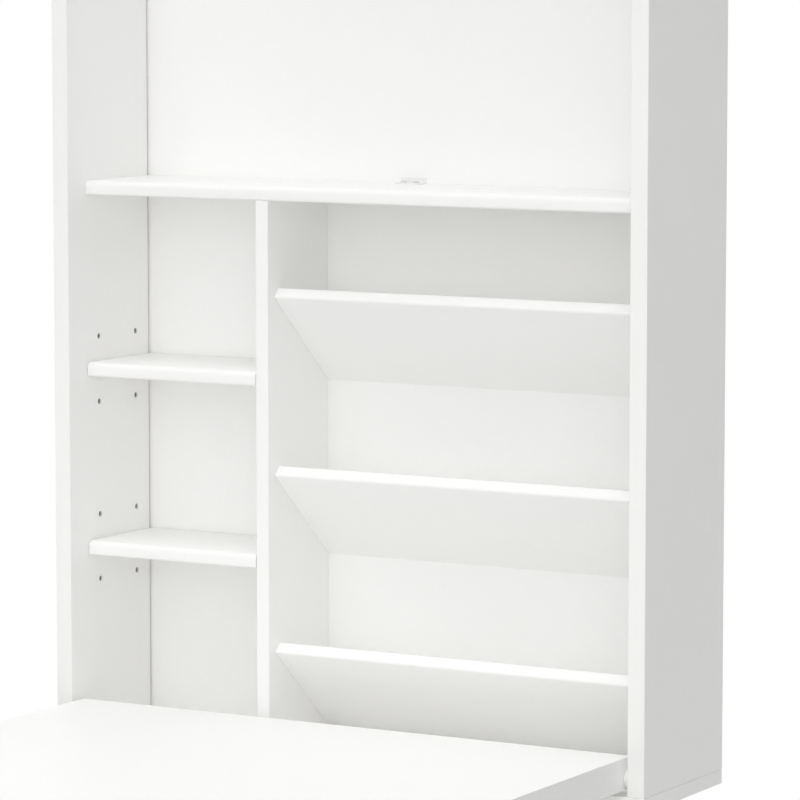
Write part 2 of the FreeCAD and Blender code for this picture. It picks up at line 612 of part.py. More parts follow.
def pocket_board(number):
    """Board that leans back and down to the back panel, with its lower end cut upright."""
    body = new_body(f"pocket_board_{POCKET_NAMES[number]}")
    sketch = new_sketch(body, "X", DIVIDER_RIGHT)
    y, z = POCKET_FRONT, pocket_rise(number)
    heel = pocket_heel(number)
    upper = (f"({y} + shelf_thickness * sin(pocket_lean))", f"({z} + shelf_thickness * cos(pocket_lean))")
    polygon(sketch, [
        (y, z),
        (BACK_FACE, heel),
        (BACK_FACE, f"({heel} + shelf_thickness / cos(pocket_lean))"),
        upper,
    ])
    pad(body, sketch, f"{INNER} - {DIVIDER_RIGHT}")
    doc.recompute()
    for face, plus in ((DIVIDER_RIGHT, True), (INNER, False)):
        places = POCKET_DOWELS[2 * number:2 * number + 2]
        bores(body, "X", face, plus, END_HOLE_DEPTH, SMALL_DOWEL_HOLE, places)
    round_nose(body, (y, z), upper)
    return body


def hanging_rail(which):
    low, high = HANGING_RAILS[which]
    body = board(f"{which}_hanging_rail", (negative(INNER), INNER), ("(0 - rail_thickness)", "0"),
                 (low, high))
    if which == "upper":
        bores(body, "Y", "0", False, "rail_thickness", "screw_hole_radius", WALL_SCREWS)
    for _, sign in BOTH:
        levels = (f"({low} + hanging_dowel_inset)", f"({high} - hanging_dowel_inset)")
        bores(body, "X", f"{sign}{INNER}", sign != "", END_HOLE_DEPTH, DOWEL_HOLE,
              [(RAIL_MIDDLE_Y, z) for z in levels])
    return body


# ---- the cabinet's joining pieces ----
def end_dowels(label, places, radius, face_depth, reach="dowel_reach", joint=INNER):
    """Dowels from a board's two ends into the panels beside it; places are y and z."""
    pieces = []
    for name, sign in BOTH:
        for number, (y, z) in enumerate(places):
            start = f"({joint} - {reach})" if sign == "" else f"(0 - {joint} - {face_depth})"
            pieces.append(rod(f"{label}_{name}_{number}", "X", (start, y, z), f"{reach} + {face_depth}",
                              radius))
    return group(label, pieces)


def fixed_shelf_dowels():
    places = [(y, SHELF_MIDDLE) for y in BOARD_DOWEL_Y]
    return end_dowels("fixed_shelf_dowels", places, "dowel_radius", "dowel_depth")


def hanging_rail_dowels():
    places = [(RAIL_MIDDLE_Y, z) for z in HANGING_DOWEL_Z]
    return end_dowels("hanging_rail_dowels", places, "dowel_radius", "dowel_depth")


def shelf_pins():
    pieces = []
    for shelf in ("upper", "lower"):
        for y in PIN_Y:
            z = f"({BASE} + {shelf}_pin_rise)"
            starts = (f"({negative(INNER)} - pin_depth)", f"({DIVIDER_LEFT} - pin_depth)")
            for number, start in enumerate(starts):
                pieces.append(rod(f"pin_{shelf}_{number}", "X", (start, y, z), "2 * pin_depth", "pin_radius"))
    return group("shelf_pins", pieces)


def carcase_dowels():
    pieces = []
    for name, sign in BOTH:
        for y in CARCASE_DOWEL_Y:
            x = f"({sign}{SIDE_MIDDLE})"
            for start in (f"({FLOOR_TOP} - dowel_depth)", f"({ROOF} - dowel_reach)"):
                pieces.append(rod(f"carcase_dowel_{name}", "Z", (x, y, start), "dowel_depth + dowel_reach",
                                  "dowel_radius"))
    return group("carcase_dowels", pieces)


def carcase_screws():
    """Flush-headed screws through the top and bottom panels into the sides' ends."""
    pieces = []
    for name, sign in BOTH:
        for y in CARCASE_SCREW_Y:
            x = f"({sign}{SIDE_MIDDLE})"
            shank = "end_thickness - screw_head_depth + screw_reach"
            for head, start in ((BASE, f"({BASE} + screw_head_depth)"),
                                (f"({TOP} - screw_head_depth)", f"({ROOF} - screw_reach)")):
                pieces.append(fused(f"carcase_screw_{name}", [
                    rod(f"screw_shank_{name}", "Z", (x, y, start), shank, "screw_radius"),
                    rod(f"screw_head_{name}", "Z", (x, y, head), "screw_head_depth", "screw_head_radius"),
                ]))
    return group("carcase_screws", pieces)


def divider_dowels():
    pieces = []
    for y in BOARD_DOWEL_Y:
        for start in (f"({FLOOR_TOP} - dowel_depth)", f"({SHELF_LOW} - dowel_reach)"):
            pieces.append(rod("divider_dowel", "Z", (DIVIDER_MIDDLE, y, start), "dowel_depth + dowel_reach",
                              "dowel_radius"))
    return group("divider_dowels", pieces)


def pocket_dowels():
    pieces = []
    for y, z in POCKET_DOWELS:
        pieces.append(rod("pocket_dowel_left", "X", (f"({DIVIDER_RIGHT} - divider_dowel_depth)", y, z),
                          "divider_dowel_depth + dowel_reach", "small_dowel_radius"))
        pieces.append(rod("pocket_dowel_right", "X", (f"({INNER} - dowel_reach)", y, z),
                          "dowel_depth + dowel_reach", "small_dowel_radius"))
    return group("pocket_board_dowels", pieces)


def cam_bolts():
    pieces = []
    for name, sign in BOTH:
        start = f"({INNER} - cam_inset + cam_radius)" if sign == "" else f"(0 - {INNER} - dowel_depth)"
        pieces.append(rod(f"cam_bolt_{name}", "X", (start, CAM_Y, SHELF_MIDDLE),
                          "cam_inset - cam_radius + dowel_depth", "cam_bolt_radius"))
    return group("cam_bolts", pieces)


def cam_locks():
    """Cams in the fixed shelf's underside, each with a driver slot."""
    pieces = []
    for name, sign in BOTH:
        body = new_body(f"cam_lock_{name}")
        x = f"({sign}({INNER} - cam_inset))"
        sketch = new_sketch(body, "Z", SHELF_LOW)
        circle(sketch, x, CAM_Y, "cam_radius")
        pad(body, sketch, "cam_depth")
        doc.recompute()
        slot(body, "Z", SHELF_LOW, True, "cam_slot_depth",
             (f"({x} - cam_slot_length / 2)", f"({x} + cam_slot_length / 2)"),
             (f"({CAM_Y} - cam_slot_width / 2)", f"({CAM_Y} + cam_slot_width / 2)"))
        pieces.append(body)
    return group("cam_locks", pieces)


def back_panel_brads():
    pieces = []
    for x, z in SHELF_BRADS + DIVIDER_BRADS:
        shank = rod("brad_shank", "Y", (x, "(0 - rail_thickness - back_thickness - brad_reach)", z),
                    "back_thickness + brad_reach", "brad_radius")
        head = rod("brad_head", "Y", (x, "(0 - rail_thickness)", z), "brad_head_thickness",
                   "brad_head_radius")
        pieces.append(fused("brad", [shank, head]))
    return group("back_panel_brads", pieces)


# ---- catches and bracket ----
def catch_bodies():
    """Bodies of the magnetic catches, open towards the closed desk."""
    pieces = []
    for name, sign in BOTH:
        x = f"({sign}catch_spread)"
        body = board(f"catch_body_{name}", (f"({x} - catch_width / 2)", f"({x} + catch_width / 2)"),
                     (CATCH_FRONT, f"({CATCH_FRONT} + catch_depth)"), (f"({ROOF} - catch_height)", ROOF))
        slot(body, "Y", CATCH_FRONT, True, "catch_mouth_depth",
             (f"({x} - catch_mouth_width / 2)", f"({x} + catch_mouth_width / 2)"),
             (f"({CATCH_Z} - catch_mouth_height / 2)", f"({CATCH_Z} + catch_mouth_height / 2)"))
        screws = [(f"({x} + {step} * catch_screw_spread)", CATCH_MIDDLE_Y) for step in (-1, 1)]
        bores(body, "Z", ROOF, False, "catch_height", SMALL_SCREW_HOLE, screws)
        bores(body, "Z", f"({ROOF} - catch_height)", True, "small_head_height", SMALL_HEAD_HOLE, screws)
        pieces.append(body)
    return group("catch_bodies", pieces)


def catch_magnets():
    pieces = []
    for name, sign in BOTH:
        x = f"({sign}catch_spread)"
        half = "(catch_mouth_height / 2 - pole_thickness)"
        pieces.append(board(f"catch_magnet_{name}",
                            (f"({x} - catch_mouth_width / 2)", f"({x} + catch_mouth_width / 2)"),
                            (CATCH_FRONT, f"({CATCH_FRONT} + catch_mouth_depth)"),
                            (f"({CATCH_Z} - {half})", f"({CATCH_Z} + {half})")))
    return group("catch_magnets", pieces)


def catch_poles():
    pieces = []
    for name, sign in BOTH:
        x = f"({sign}catch_spread)"
        for side, low in (("upper", f"({CATCH_Z} + catch_mouth_height / 2 - pole_thickness)"),
                          ("lower", f"({CATCH_Z} - catch_mouth_height / 2)")):
            pieces.append(board(f"catch_pole_{name}_{side}",
                                (f"({x} - catch_mouth_width / 2)", f"({x} + catch_mouth_width / 2)"),
                                (POLE_FRONT, f"({CATCH_FRONT} + catch_mouth_depth)"),
                                (low, f"({low} + pole_thickness)")))
    return group("catch_poles", pieces)


def catch_screws():
    pieces = []
    for name, sign in BOTH:
        for step in (-1, 1):
            x = f"({sign}catch_spread + {step} * catch_screw_spread)"
            low = f"({ROOF} - catch_height)"
            head = rod("catch_screw_head", "Z", (x, CATCH_MIDDLE_Y, low), "small_head_height",
                       "small_head_radius")
            shank = rod("catch_screw_shank", "Z", (x, CATCH_MIDDLE_Y, f"({low} + small_head_height)"),
                        "catch_height - small_head_height + catch_screw_reach", "small_screw_radius")
            pieces.append(fused("catch_screw", [head, shank]))
    return group("catch_screws", pieces)


def bracket_screw_places():
    return [(f"({sign}bracket_screw_spread)", f"({BACK_FACE} - bracket_screw_step)") for _, sign in BOTH]


def shelf_bracket():
    """Small angle plate that ties the fixed shelf to the back at the cabinet's middle."""
    half = "(bracket_width / 2)"
    body = new_body("shelf_bracket")
    sketch = new_sketch(body, "X", negative(half))
    foot_top, tip = f"({SHELF_HIGH} + bracket_thickness)", f"({SHELF_HIGH} + bracket_rise)"
    front, inside = f"({BACK_FACE} - bracket_foot)", f"({BACK_FACE} - bracket_thickness)"
    polygon(sketch, [(front, SHELF_HIGH), (BACK_FACE, SHELF_HIGH), (BACK_FACE, tip), (inside, tip),
                     (inside, foot_top), (front, foot_top)])
    pad(body, sketch, "bracket_width")
    doc.recompute()
    bores(body, "Z", foot_top, False, "bracket_thickness", SMALL_SCREW_HOLE, bracket_screw_places())
    return body


def bracket_screws():
    foot_top = f"({SHELF_HIGH} + bracket_thickness)"
    pieces = []
    for x, y in bracket_screw_places():
        head = rod("bracket_screw_head", "Z", (x, y, foot_top), "small_head_height", "small_head_radius")
        shank = rod("bracket_screw_shank", "Z", (x, y, f"({SHELF_HIGH} - small_screw_reach)"),
                    "small_screw_reach + bracket_thickness", "small_screw_radius")
        pieces.append(fused("bracket_screw", [head, shank]))
    return group("bracket_screws", pieces)


# ---- pivots between cabinet and desk ----
def pivot_pin(name, sign):
    reach = "(bush_length - pin_end_gap)"
    start = f"({DESK_SIDE} - {reach})" if sign == "" else f"(0 - {INNER} - pivot_seat)"
    pin = rod(f"pivot_pin_{name}", "X", (start, PIVOT_Y, PIVOT_Z), f"{reach} + desk_side_gap + pivot_seat",
              "pivot_radius")
    return pin


def pivot_spacer(name, sign):
    """Ring on the pin that holds the desk off the side panel."""
    start = f"({INNER} - desk_side_gap + running_gap)" if sign == "" else negative(INNER)
    return ring(f"pivot_spacer_{name}", "X", (start, PIVOT_Y, PIVOT_Z), "desk_side_gap - running_gap",
                "spacer_radius", "pivot_radius + glue_gap")


def pivot_bush(name, sign):
    start = f"({DESK_SIDE} - bush_length)" if sign == "" else negative(DESK_SIDE)
    return ring(f"pivot_bush_{name}", "X", (start, PIVOT_Y, PIVOT_Z), "bush_length",
                "pivot_radius + pivot_clearance + bush_wall", "pivot_radius + pivot_clearance")


# ---- the desk ----
def desk_top_board():
    body = board("desk_top_board", (negative(DESK_SIDE), DESK_SIDE), (DESK_FAR, DESK_REAR),
                 (RECESS_TOP, DESK_HIGH))
    rear, far, top = value(DESK_REAR), value(DESK_FAR), value(DESK_HIGH)
    magnets = [(f"({sign}magnet_spread)", MAGNET_Y) for _, sign in BOTH]
    bores(body, "Z", RECESS_TOP, True, "magnet_thickness", "magnet_radius + glue_gap", magnets)
    for _, sign in BOTH:
        x, y = strike_outline(sign, "glue_gap")
        slot(body, "Z", DESK_HIGH, False, "strike_thickness", x, y)
    bores(body, "Z", STRIKE_SEAT, False, "small_screw_reach", SMALL_SCREW_HOLE, strike_screw_places())
    round_edges(body, "desk_edge_radius", lambda point: abs(point.y - rear) + abs(point.z - top) < 1e-6)
    round_edges(body, "desk_far_radius", lambda point: abs(point.y - far) + abs(point.z - top) < 1e-6)
    return body


def round_heel(body):
    """Rounds the lower rear edge, which swings past the bottom panel."""
    rear, low = value(DESK_REAR), value(DESK_LOW)
    round_edges(body, "heel_radius", lambda point: abs(point.y - rear) + abs(point.z - low) < 1e-6)


def desk_side_rail(name, sign):
    inner, outer = f"({sign}{RAIL_INNER})", f"({sign}{DESK_SIDE})"
    right = sign == ""
    low, high = (inner, outer) if right else (outer, inner)
    body = board(f"desk_side_rail_{name}", (low, high), (DESK_FAR, DESK_REAR), (DESK_LOW, RECESS_TOP))
    bores(body, "X", outer, not right, "bush_length", "pivot_radius + pivot_clearance + bush_wall + glue_gap",
          [(PIVOT_Y, PIVOT_Z)])
    bores(body, "X", inner, right, "leg_pin_seat + hole_spare", "leg_pin_radius + glue_gap", [(LEG_Y, LEG_Z)])
    bores(body, "X", inner, right, FACE_HOLE_DEPTH, DOWEL_HOLE, [(y, DESK_RAIL_MIDDLE) for y in DESK_DOWEL_Y])
    round_heel(body)
    return body


def desk_rail(which):
    y = DESK_RAILS[which]
    body = board(f"desk_{which}_rail", (negative(RAIL_INNER), RAIL_INNER), y, (DESK_LOW, RECESS_TOP))
    first = 2 * list(DESK_RAILS).index(which)
    for _, sign in BOTH:
        bores(body, "X", f"{sign}{RAIL_INNER}", sign != "", END_HOLE_DEPTH, DOWEL_HOLE,
              [(place_y, DESK_RAIL_MIDDLE) for place_y in DESK_DOWEL_Y[first:first + 2]])
    if which == "rear":
        round_heel(body)
    if which == "front":
        bores(body, "Z", DESK_LOW, True, "knob_screw_reach", "knob_screw_radius + glue_gap", [("0", KNOB_Y)])
    return body


def desk_batten():
    """Stiffens the top; the leg frame folds round it, so its ends stop short of the uprights."""
    end = f"({STILE_INNER} - batten_end_gap)"
    y = (f"({BATTEN_Y} - batten_width / 2)", f"({BATTEN_Y} + batten_width / 2)")
    return board("desk_batten", (negative(end), end), y, (DESK_LOW, RECESS_TOP))


def desk_dowels():
    return end_dowels("desk_dowels", [(y, DESK_RAIL_MIDDLE) for y in DESK_DOWEL_Y], "dowel_radius",
                      "dowel_depth", joint=RAIL_INNER)


def strike_screw_places():
    return [(f"({sign}catch_spread + {step} * strike_screw_spread)", STRIKE_Y)
            for _, sign in BOTH for step in (-1, 1)]


def strike_outline(sign, spare):
    """A strike plate's two extents, with room round it."""
    x = f"({sign}catch_spread)"
    half_length, half_width = f"(strike_length / 2 + {spare})", f"(strike_width / 2 + {spare})"
    return ((f"({x} - {half_length})", f"({x} + {half_length})"),
            (f"({STRIKE_Y} - {half_width})", f"({STRIKE_Y} + {half_width})"))


def strike_plates():
    """Steel plates let in flush near the desk's far edge, where the catches take hold."""
    pieces = []
    for name, sign in BOTH:
        x, y = strike_outline(sign, "0")
        body = board(f"strike_plate_{name}", x, y, (STRIKE_SEAT, DESK_HIGH))
        screws = [(f"({sign}catch_spread + {step} * strike_screw_spread)", STRIKE_Y) for step in (-1, 1)]
        bores(body, "Z", STRIKE_SEAT, True, "strike_thickness", SMALL_HEAD_HOLE, screws)
        pieces.append(body)
    return group("strike_plates", pieces)


def strike_screws():
    """Screws whose heads lie flush in the strike plates."""
    pieces = []
    for x, y in strike_screw_places():
        head = rod("strike_screw_head", "Z", (x, y, STRIKE_SEAT), "strike_thickness", "small_head_radius")
        shank = rod("strike_screw_shank", "Z", (x, y, f"({STRIKE_SEAT} - small_screw_reach)"),
                    "small_screw_reach", "small_screw_radius")
        pieces.append(fused("strike_screw", [head, shank]))
    return group("strike_screws", pieces)


def pull_knob():
    body = new_body("pull_knob")
    neck = new_sketch(body, "Z", f"({DESK_LOW} - knob_neck_height)")
    circle(neck, "0", KNOB_Y, "knob_neck_radius")
    pad(body, neck, "knob_neck_height")
    head = new_sketch(body, "Z", f"({DESK_LOW} - knob_height)")
    circle(head, "0", KNOB_Y, "knob_radius")
    pad(body, head, "knob_height - knob_neck_height")
    doc.recompute()
    bores(body, "Z", DESK_LOW, False, "knob_screw_hold", "knob_screw_radius + glue_gap", [("0", KNOB_Y)])
    rim = value("knob_radius")
    middle = value(KNOB_Y)
    tip = body.Tip
    names = [f"Edge{number}" for number, edge in enumerate(tip.Shape.Edges, start=1)
             if edge.Curve.TypeId == "Part::GeomCircle" and abs(edge.Curve.Radius - rim) < 1e-6
             and abs(edge.Curve.Center.y - middle) < 1e-6]
    fillet = body.newObject("PartDesign::Fillet", "Eased")
    fillet.Base = (tip, names)
    fillet.setExpression("Radius", bind("knob_edge_radius"))
    doc.recompute()
    return body


def knob_screw():
    return rod("knob_screw", "Z", ("0", KNOB_Y, f"({DESK_LOW} - knob_screw_hold)"),
               "knob_screw_hold + knob_screw_reach", "knob_screw_radius")


def leg_magnets():
    pieces = [rod("leg_magnet", "Z", (f"({sign}magnet_spread)", MAGNET_Y, RECESS_TOP), "magnet_thickness",
                  "magnet_radius") for _, sign in BOTH]
    return group("leg_magnets", pieces)


def leg_pivot_pins():
    length = "leg_bush_length - pin_end_gap + leg_side_gap + leg_pin_seat"
    pieces = []
    for name, sign in BOTH:
        start = (f"({LEG_SIDE} - leg_bush_length + pin_end_gap)" if sign == ""
                 else f"(0 - {RAIL_INNER} - leg_pin_seat)")
        pieces.append(rod(f"leg_pivot_pin_{name}", "X", (start, LEG_Y, LEG_Z), length, "leg_pin_radius"))
    return group("leg_pivot_pins", pieces)


# ---- the leg frame ----
def leg_stile(name, sign):
    """Upright with a rounded head that turns about the pivot."""
    inner, outer = f"({sign}{STILE_INNER})", f"({sign}{LEG_SIDE})"
    right = sign == ""
    low, high = (inner, outer) if right else (outer, inner)
    body = board(f"leg_stile_{name}", (low, high), LEG_FACES, (FOOT, LEG_Z))
    head = new_sketch(body, "X", low)
    circle(head, LEG_Y, LEG_Z, "leg_thickness / 2")
    pad(body, head, "stile_width")
    doc.recompute()
    bores(body, "X", outer, not right, "leg_bush_length",
          "leg_pin_radius + pivot_clearance + leg_bush_wall + glue_gap", [(LEG_Y, LEG_Z)])
    bores(body, "X", inner, right, FACE_HOLE_DEPTH, DOWEL_HOLE, [(LEG_Y, z) for z in LEG_DOWEL_Z])
    return body


def leg_rail(which):
    body = board(f"leg_{which}_rail", (negative(STILE_INNER), STILE_INNER), LEG_FACES, LEG_RAILS[which])
    first = 2 * list(LEG_RAILS).index(which)
    for _, sign in BOTH:
        bores(body, "X", f"{sign}{STILE_INNER}", sign != "", END_HOLE_DEPTH, DOWEL_HOLE,
              [(LEG_Y, z) for z in LEG_DOWEL_Z[first:first + 2]])
    if which == "foot":
        bores(body, "Y", LEG_FACES[1], False, "small_screw_reach", SMALL_SCREW_HOLE, plate_places())
    return body


def leg_dowels():
    return end_dowels("leg_dowels", [(LEG_Y, z) for z in LEG_DOWEL_Z], "dowel_radius", "dowel_depth",
                      joint=STILE_INNER)


def leg_bushes():
    pieces = []
    for name, sign in BOTH:
        start = f"({LEG_SIDE} - leg_bush_length)" if sign == "" else negative(LEG_SIDE)
        pieces.append(ring(f"leg_bush_{name}", "X", (start, LEG_Y, LEG_Z), "leg_bush_length",
                           "leg_pin_radius + pivot_clearance + leg_bush_wall",
                           "leg_pin_radius + pivot_clearance"))
    return group("leg_pivot_bushes", pieces)


def foot_pads():
    pieces = []
    for name, sign in BOTH:
        inner, outer = f"({sign}({STILE_INNER} + foot_inset))", f"({sign}({LEG_SIDE} - foot_inset))"
        low, high = (inner, outer) if sign == "" else (outer, inner)
        y = (f"({LEG_FACES[0]} + foot_edge)", f"({LEG_FACES[1]} - foot_edge)")
        pieces.append(board(f"foot_pad_{name}", (low, high), y, (GROUND, FOOT)))
    return group("foot_pads", pieces)


def plate_places():
    return [(f"({sign}magnet_spread)", FOOT_RAIL_MIDDLE) for _, sign in BOTH]


def leg_catch_plates():
    """Steel discs on the foot rail that the desk's magnets hold when the leg is folded."""
    pieces = []
    for number, (x, z) in enumerate(plate_places()):
        pieces.append(ring(f"leg_catch_plate_{number}", "Y", (x, LEG_FACES[1], z), "plate_thickness",
                           "plate_radius", SMALL_HEAD_HOLE))
    return group("leg_catch_plates", pieces)


def leg_catch_screws():
    pieces = []
    for x, z in plate_places():
        head = rod("leg_catch_screw_head", "Y", (x, LEG_FACES[1], z), "plate_thickness", "small_head_radius")
        shank = rod("leg_catch_screw_shank", "Y", (x, f"({LEG_FACES[1]} - small_screw_reach)", z),
                    "small_screw_reach", "small_screw_radius")
        pieces.append(fused("leg_catch_screw", [head, shank]))
    return group("leg_catch_screws", pieces)


nodes = [side_panel(name, sign) for name, sign in BOTH]
nodes += [
    end_panel("bottom_panel", (BASE, FLOOR_TOP), FLOOR_TOP, False),
    end_panel("top_panel", (ROOF, TOP), ROOF, True),
    back_panel(),
    divider(),
    fixed_shelf(),
    adjustable_shelf("upper"),
    adjustable_shelf("lower"),
]
nodes += [pocket_board(number) for number in range(3)]
nodes += [hanging_rail(which) for which in HANGING_RAILS]
nodes += [
    shelf_pins(),
    carcase_dowels(),
    carcase_screws(),
    fixed_shelf_dowels(),
    cam_bolts(),
    cam_locks(),
    divider_dowels(),
    pocket_dowels(),
    hanging_rail_dowels(),
    back_panel_brads(),
    catch_bodies(),
    catch_magnets(),
    catch_poles(),
    catch_screws(),
    shelf_bracket(),
    bracket_screws(),
]
nodes += [pivot_pin(name, sign) for name, sign in BOTH]
nodes += [pivot_spacer(name, sign) for name, sign in BOTH]
nodes += [desk_top_board()]
nodes += [desk_side_rail(name, sign) for name, sign in BOTH]
nodes += [desk_rail(which) for which in DESK_RAILS]
nodes += [desk_batten()]
nodes += [pivot_bush(name, sign) for name, sign in BOTH]
nodes += [
    desk_dowels(),
    strike_plates(),
    strike_screws(),
    pull_knob(),
    knob_screw(),
    leg_magnets(),
    leg_pivot_pins(),
]
nodes += [leg_stile(name, sign) for name, sign in BOTH]
nodes += [leg_rail(which) for which in LEG_RAILS]
nodes += [leg_dowels(), leg_bushes(), foot_pads(), leg_catch_plates(), leg_catch_screws()]
doc.recompute()

for item in doc.Objects:
    if "Invalid" in item.State or "Error" in item.State:
        raise RuntimeError(f"{item.Label} failed to compute: {item.State}")
for node in nodes:
    if node.Shape.isNull() or not node.Shape.isValid():
        raise RuntimeError(f"{node.Label} has no valid shape")

os.makedirs("parts", exist_ok=True)
for node in nodes:
    node.Shape.exportStep(f"parts/{node.Label}.step")
    print(f"{node.Label}: {len(node.Shape.Solids)} solids, {node.Shape.Volume / 1000:.1f} cm3")
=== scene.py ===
import json
import math

import bmesh
import bpy
from mathutils import Matrix, Vector, noise


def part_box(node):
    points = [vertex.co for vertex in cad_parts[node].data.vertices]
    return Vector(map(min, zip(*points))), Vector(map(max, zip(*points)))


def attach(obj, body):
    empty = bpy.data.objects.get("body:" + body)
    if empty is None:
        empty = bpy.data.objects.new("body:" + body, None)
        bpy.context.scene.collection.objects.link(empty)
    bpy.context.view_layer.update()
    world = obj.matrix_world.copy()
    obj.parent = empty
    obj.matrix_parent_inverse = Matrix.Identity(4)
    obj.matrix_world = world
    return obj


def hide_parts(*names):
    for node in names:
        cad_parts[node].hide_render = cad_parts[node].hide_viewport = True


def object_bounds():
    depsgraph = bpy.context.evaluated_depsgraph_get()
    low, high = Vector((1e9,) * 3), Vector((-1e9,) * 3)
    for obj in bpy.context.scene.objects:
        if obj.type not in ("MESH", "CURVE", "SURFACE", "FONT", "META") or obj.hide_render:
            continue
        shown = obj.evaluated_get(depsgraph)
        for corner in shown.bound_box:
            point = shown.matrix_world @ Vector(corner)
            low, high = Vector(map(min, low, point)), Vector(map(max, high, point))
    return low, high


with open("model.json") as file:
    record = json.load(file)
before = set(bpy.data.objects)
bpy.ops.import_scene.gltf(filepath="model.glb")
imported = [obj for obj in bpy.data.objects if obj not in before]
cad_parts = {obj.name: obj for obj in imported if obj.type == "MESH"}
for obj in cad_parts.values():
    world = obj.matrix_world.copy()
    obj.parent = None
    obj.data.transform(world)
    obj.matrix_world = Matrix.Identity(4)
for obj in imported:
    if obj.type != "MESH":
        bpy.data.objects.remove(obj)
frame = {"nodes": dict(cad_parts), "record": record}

# The looks of the fold-down wall desk. Metres throughout, in the row frame: +X right,
# +Y towards the wall, +Z up.
MM = 0.001
cad_low, cad_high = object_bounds()
scene = bpy.context.scene
scene.view_settings.view_transform = "Standard"


# ---- camera, fitted to the straight edges of the object ----
LENS = 191.573
SENSOR = 36
CAMERA_PLACE = (1.7550, -3.1234, -0.2260)
CAMERA_YAW = 0.517841
CAMERA_PITCH = 0.107108


def make_camera():
    data = bpy.data.cameras.new("camera")
    data.lens = LENS
    data.sensor_width = SENSOR
    camera = bpy.data.objects.new("camera", data)
    camera.location = CAMERA_PLACE
    camera.rotation_euler = (math.pi / 2 - CAMERA_PITCH, 0, CAMERA_YAW)
    scene.collection.objects.link(camera)
    scene.camera = camera


# ---- node trees ----
class Tree:
    """A few short words for building a tree of shader or geometry nodes."""

    def __init__(self, tree):
        self.tree = tree

    def node(self, kind, feeds=(), **settings):
        """A new node; feeds gives what goes into its inputs, by their names or numbers."""
        made = self.tree.nodes.new(kind)
        for key, setting in settings.items():
            setattr(made, key, setting)
        for key, source in dict(feeds).items():
            self.feed(made.inputs[key], source)
        return made

    def feed(self, socket, source):
        """Sets a socket to a constant, or links it to another socket."""
        if isinstance(source, bpy.types.NodeSocket):
            self.tree.links.new(source, socket)
        else:
            socket.default_value = source

    def math(self, operation, a, b=0.0):
        return self.node("ShaderNodeMath", {0: a, 1: b}, operation=operation).outputs[0]

    def vector(self, operation, a, b=(0, 0, 0)):
        """The outputs of a vector operation: its Vector or its Value is the result."""
        return self.node("ShaderNodeVectorMath", {0: a, 1: b}, operation=operation).outputs

    def axes(self, point):
        """The parts of a point, by the names X, Y and Z."""
        return self.node("ShaderNodeSeparateXYZ", {0: point}).outputs

    def over(self, number, limit):
        """True where a number in a geometry tree is over the limit."""
        return self.node("FunctionNodeCompare", {"A": number, "B": limit},
                         data_type="FLOAT", operation="GREATER_THAN").outputs[0]

    def ramp(self, source, low, high, to_low=0.0, to_high=1.0):
        """Maps low..high to to_low..to_high, smoothly and without going past either."""
        feeds = {"Value": source, "From Min": low, "From Max": high,
                 "To Min": to_low, "To Max": to_high}
        return self.node("ShaderNodeMapRange", feeds,
                         interpolation_type="SMOOTHSTEP").outputs["Result"]

    def blend(self, factor, a, b):
        """Colour a where the factor is 0, and colour b where it is 1."""
        return self.node("ShaderNodeMix", {"Factor": factor, 6: a, 7: b},
                         data_type="RGBA").outputs[2]

    def place(self, stretch=(1, 1, 1), source="Object"):
        """The point on the piece in its own metres, stretched along each axis."""
        point = self.node("ShaderNodeTexCoord").outputs[source]
        if stretch == (1, 1, 1):
            return point
        return self.vector("MULTIPLY", point, stretch)["Vector"]

    def noise(self, scale, stretch=(1, 1, 1), detail=2.0, roughness=0.5, distortion=0.0):
        """A noise texture's value; its scale is about how many features fit in a metre."""
        feeds = {"Vector": self.place(stretch), "Scale": scale, "Detail": detail,
                 "Roughness": roughness, "Distortion": distortion}
        return self.node("ShaderNodeTexNoise", feeds).outputs["Fac"]

    def bump(self, height, depth, under=None):
        """Relief of that many metres, laid over another relief if one is given."""
        feeds = {"Height": height, "Distance": depth}
        if under is not None:
            feeds["Normal"] = under
        return self.node("ShaderNodeBump", feeds).outputs["Normal"]


def lit_by_camera(tree):
    """1 for a ray straight from the camera or by way of metal and glass, else 0."""
    path = tree.node("ShaderNodeLightPath").outputs
    straight = tree.math("MAXIMUM", path["Is Camera Ray"], path["Is Glossy Ray"])
    return tree.math("MAXIMUM", straight, path["Is Transmission Ray"])


# ---- light, floor and background ----
GLOW_ALL_ROUND = 0.24
# Each soft light: where it comes from, how bright its middle is, how tightly it keeps together.
SOFT_LIGHTS = (((0.25, -0.94, 0.21), 1.70, 6), ((0.0, -0.17, 0.98), 2.62, 6))
DIFFUSE_BOUNCES = 12
WHITE = (1, 1, 1, 1)
FLOOR_RADIUS = 9
FLOOR_SIDES = 96
FLOOR_COLOUR = (0.64, 0.64, 0.635)
FLOOR_ROUGHNESS = 0.6
# How much paler the floor is for the camera than for the light that it sends back.
FLOOR_SEEN = 1.5
# The floor is itself up to the first distance from the middle, and white from the second.
FLOOR_FADE = (1.3, 3.2)


def make_world():
    """Two broad soft lights, one in front and one above, in a glow. The camera sees white."""
    world = bpy.data.worlds.new("studio")
    world.use_nodes = True
    scene.world = world
    scene.cycles.diffuse_bounces = DIFFUSE_BOUNCES
    tree = Tree(world.node_tree)
    direction = tree.place(source="Generated")
    total = GLOW_ALL_ROUND
    for place, strength, tightness in SOFT_LIGHTS:
        facing = tree.vector("DOT_PRODUCT", direction, Vector(place).normalized())["Value"]
        lobe = tree.math("POWER", tree.math("MAXIMUM", facing, 0.0), tightness)
        total = tree.math("ADD", tree.math("MULTIPLY", lobe, strength), total)
    seen = lit_by_camera(tree)
    light = tree.math("MULTIPLY", total, tree.math("SUBTRACT", 1.0, seen))
    background = world.node_tree.nodes["Background"]
    background.inputs["Color"].default_value = WHITE
    tree.feed(background.inputs["Strength"], tree.math("ADD", light, seen))


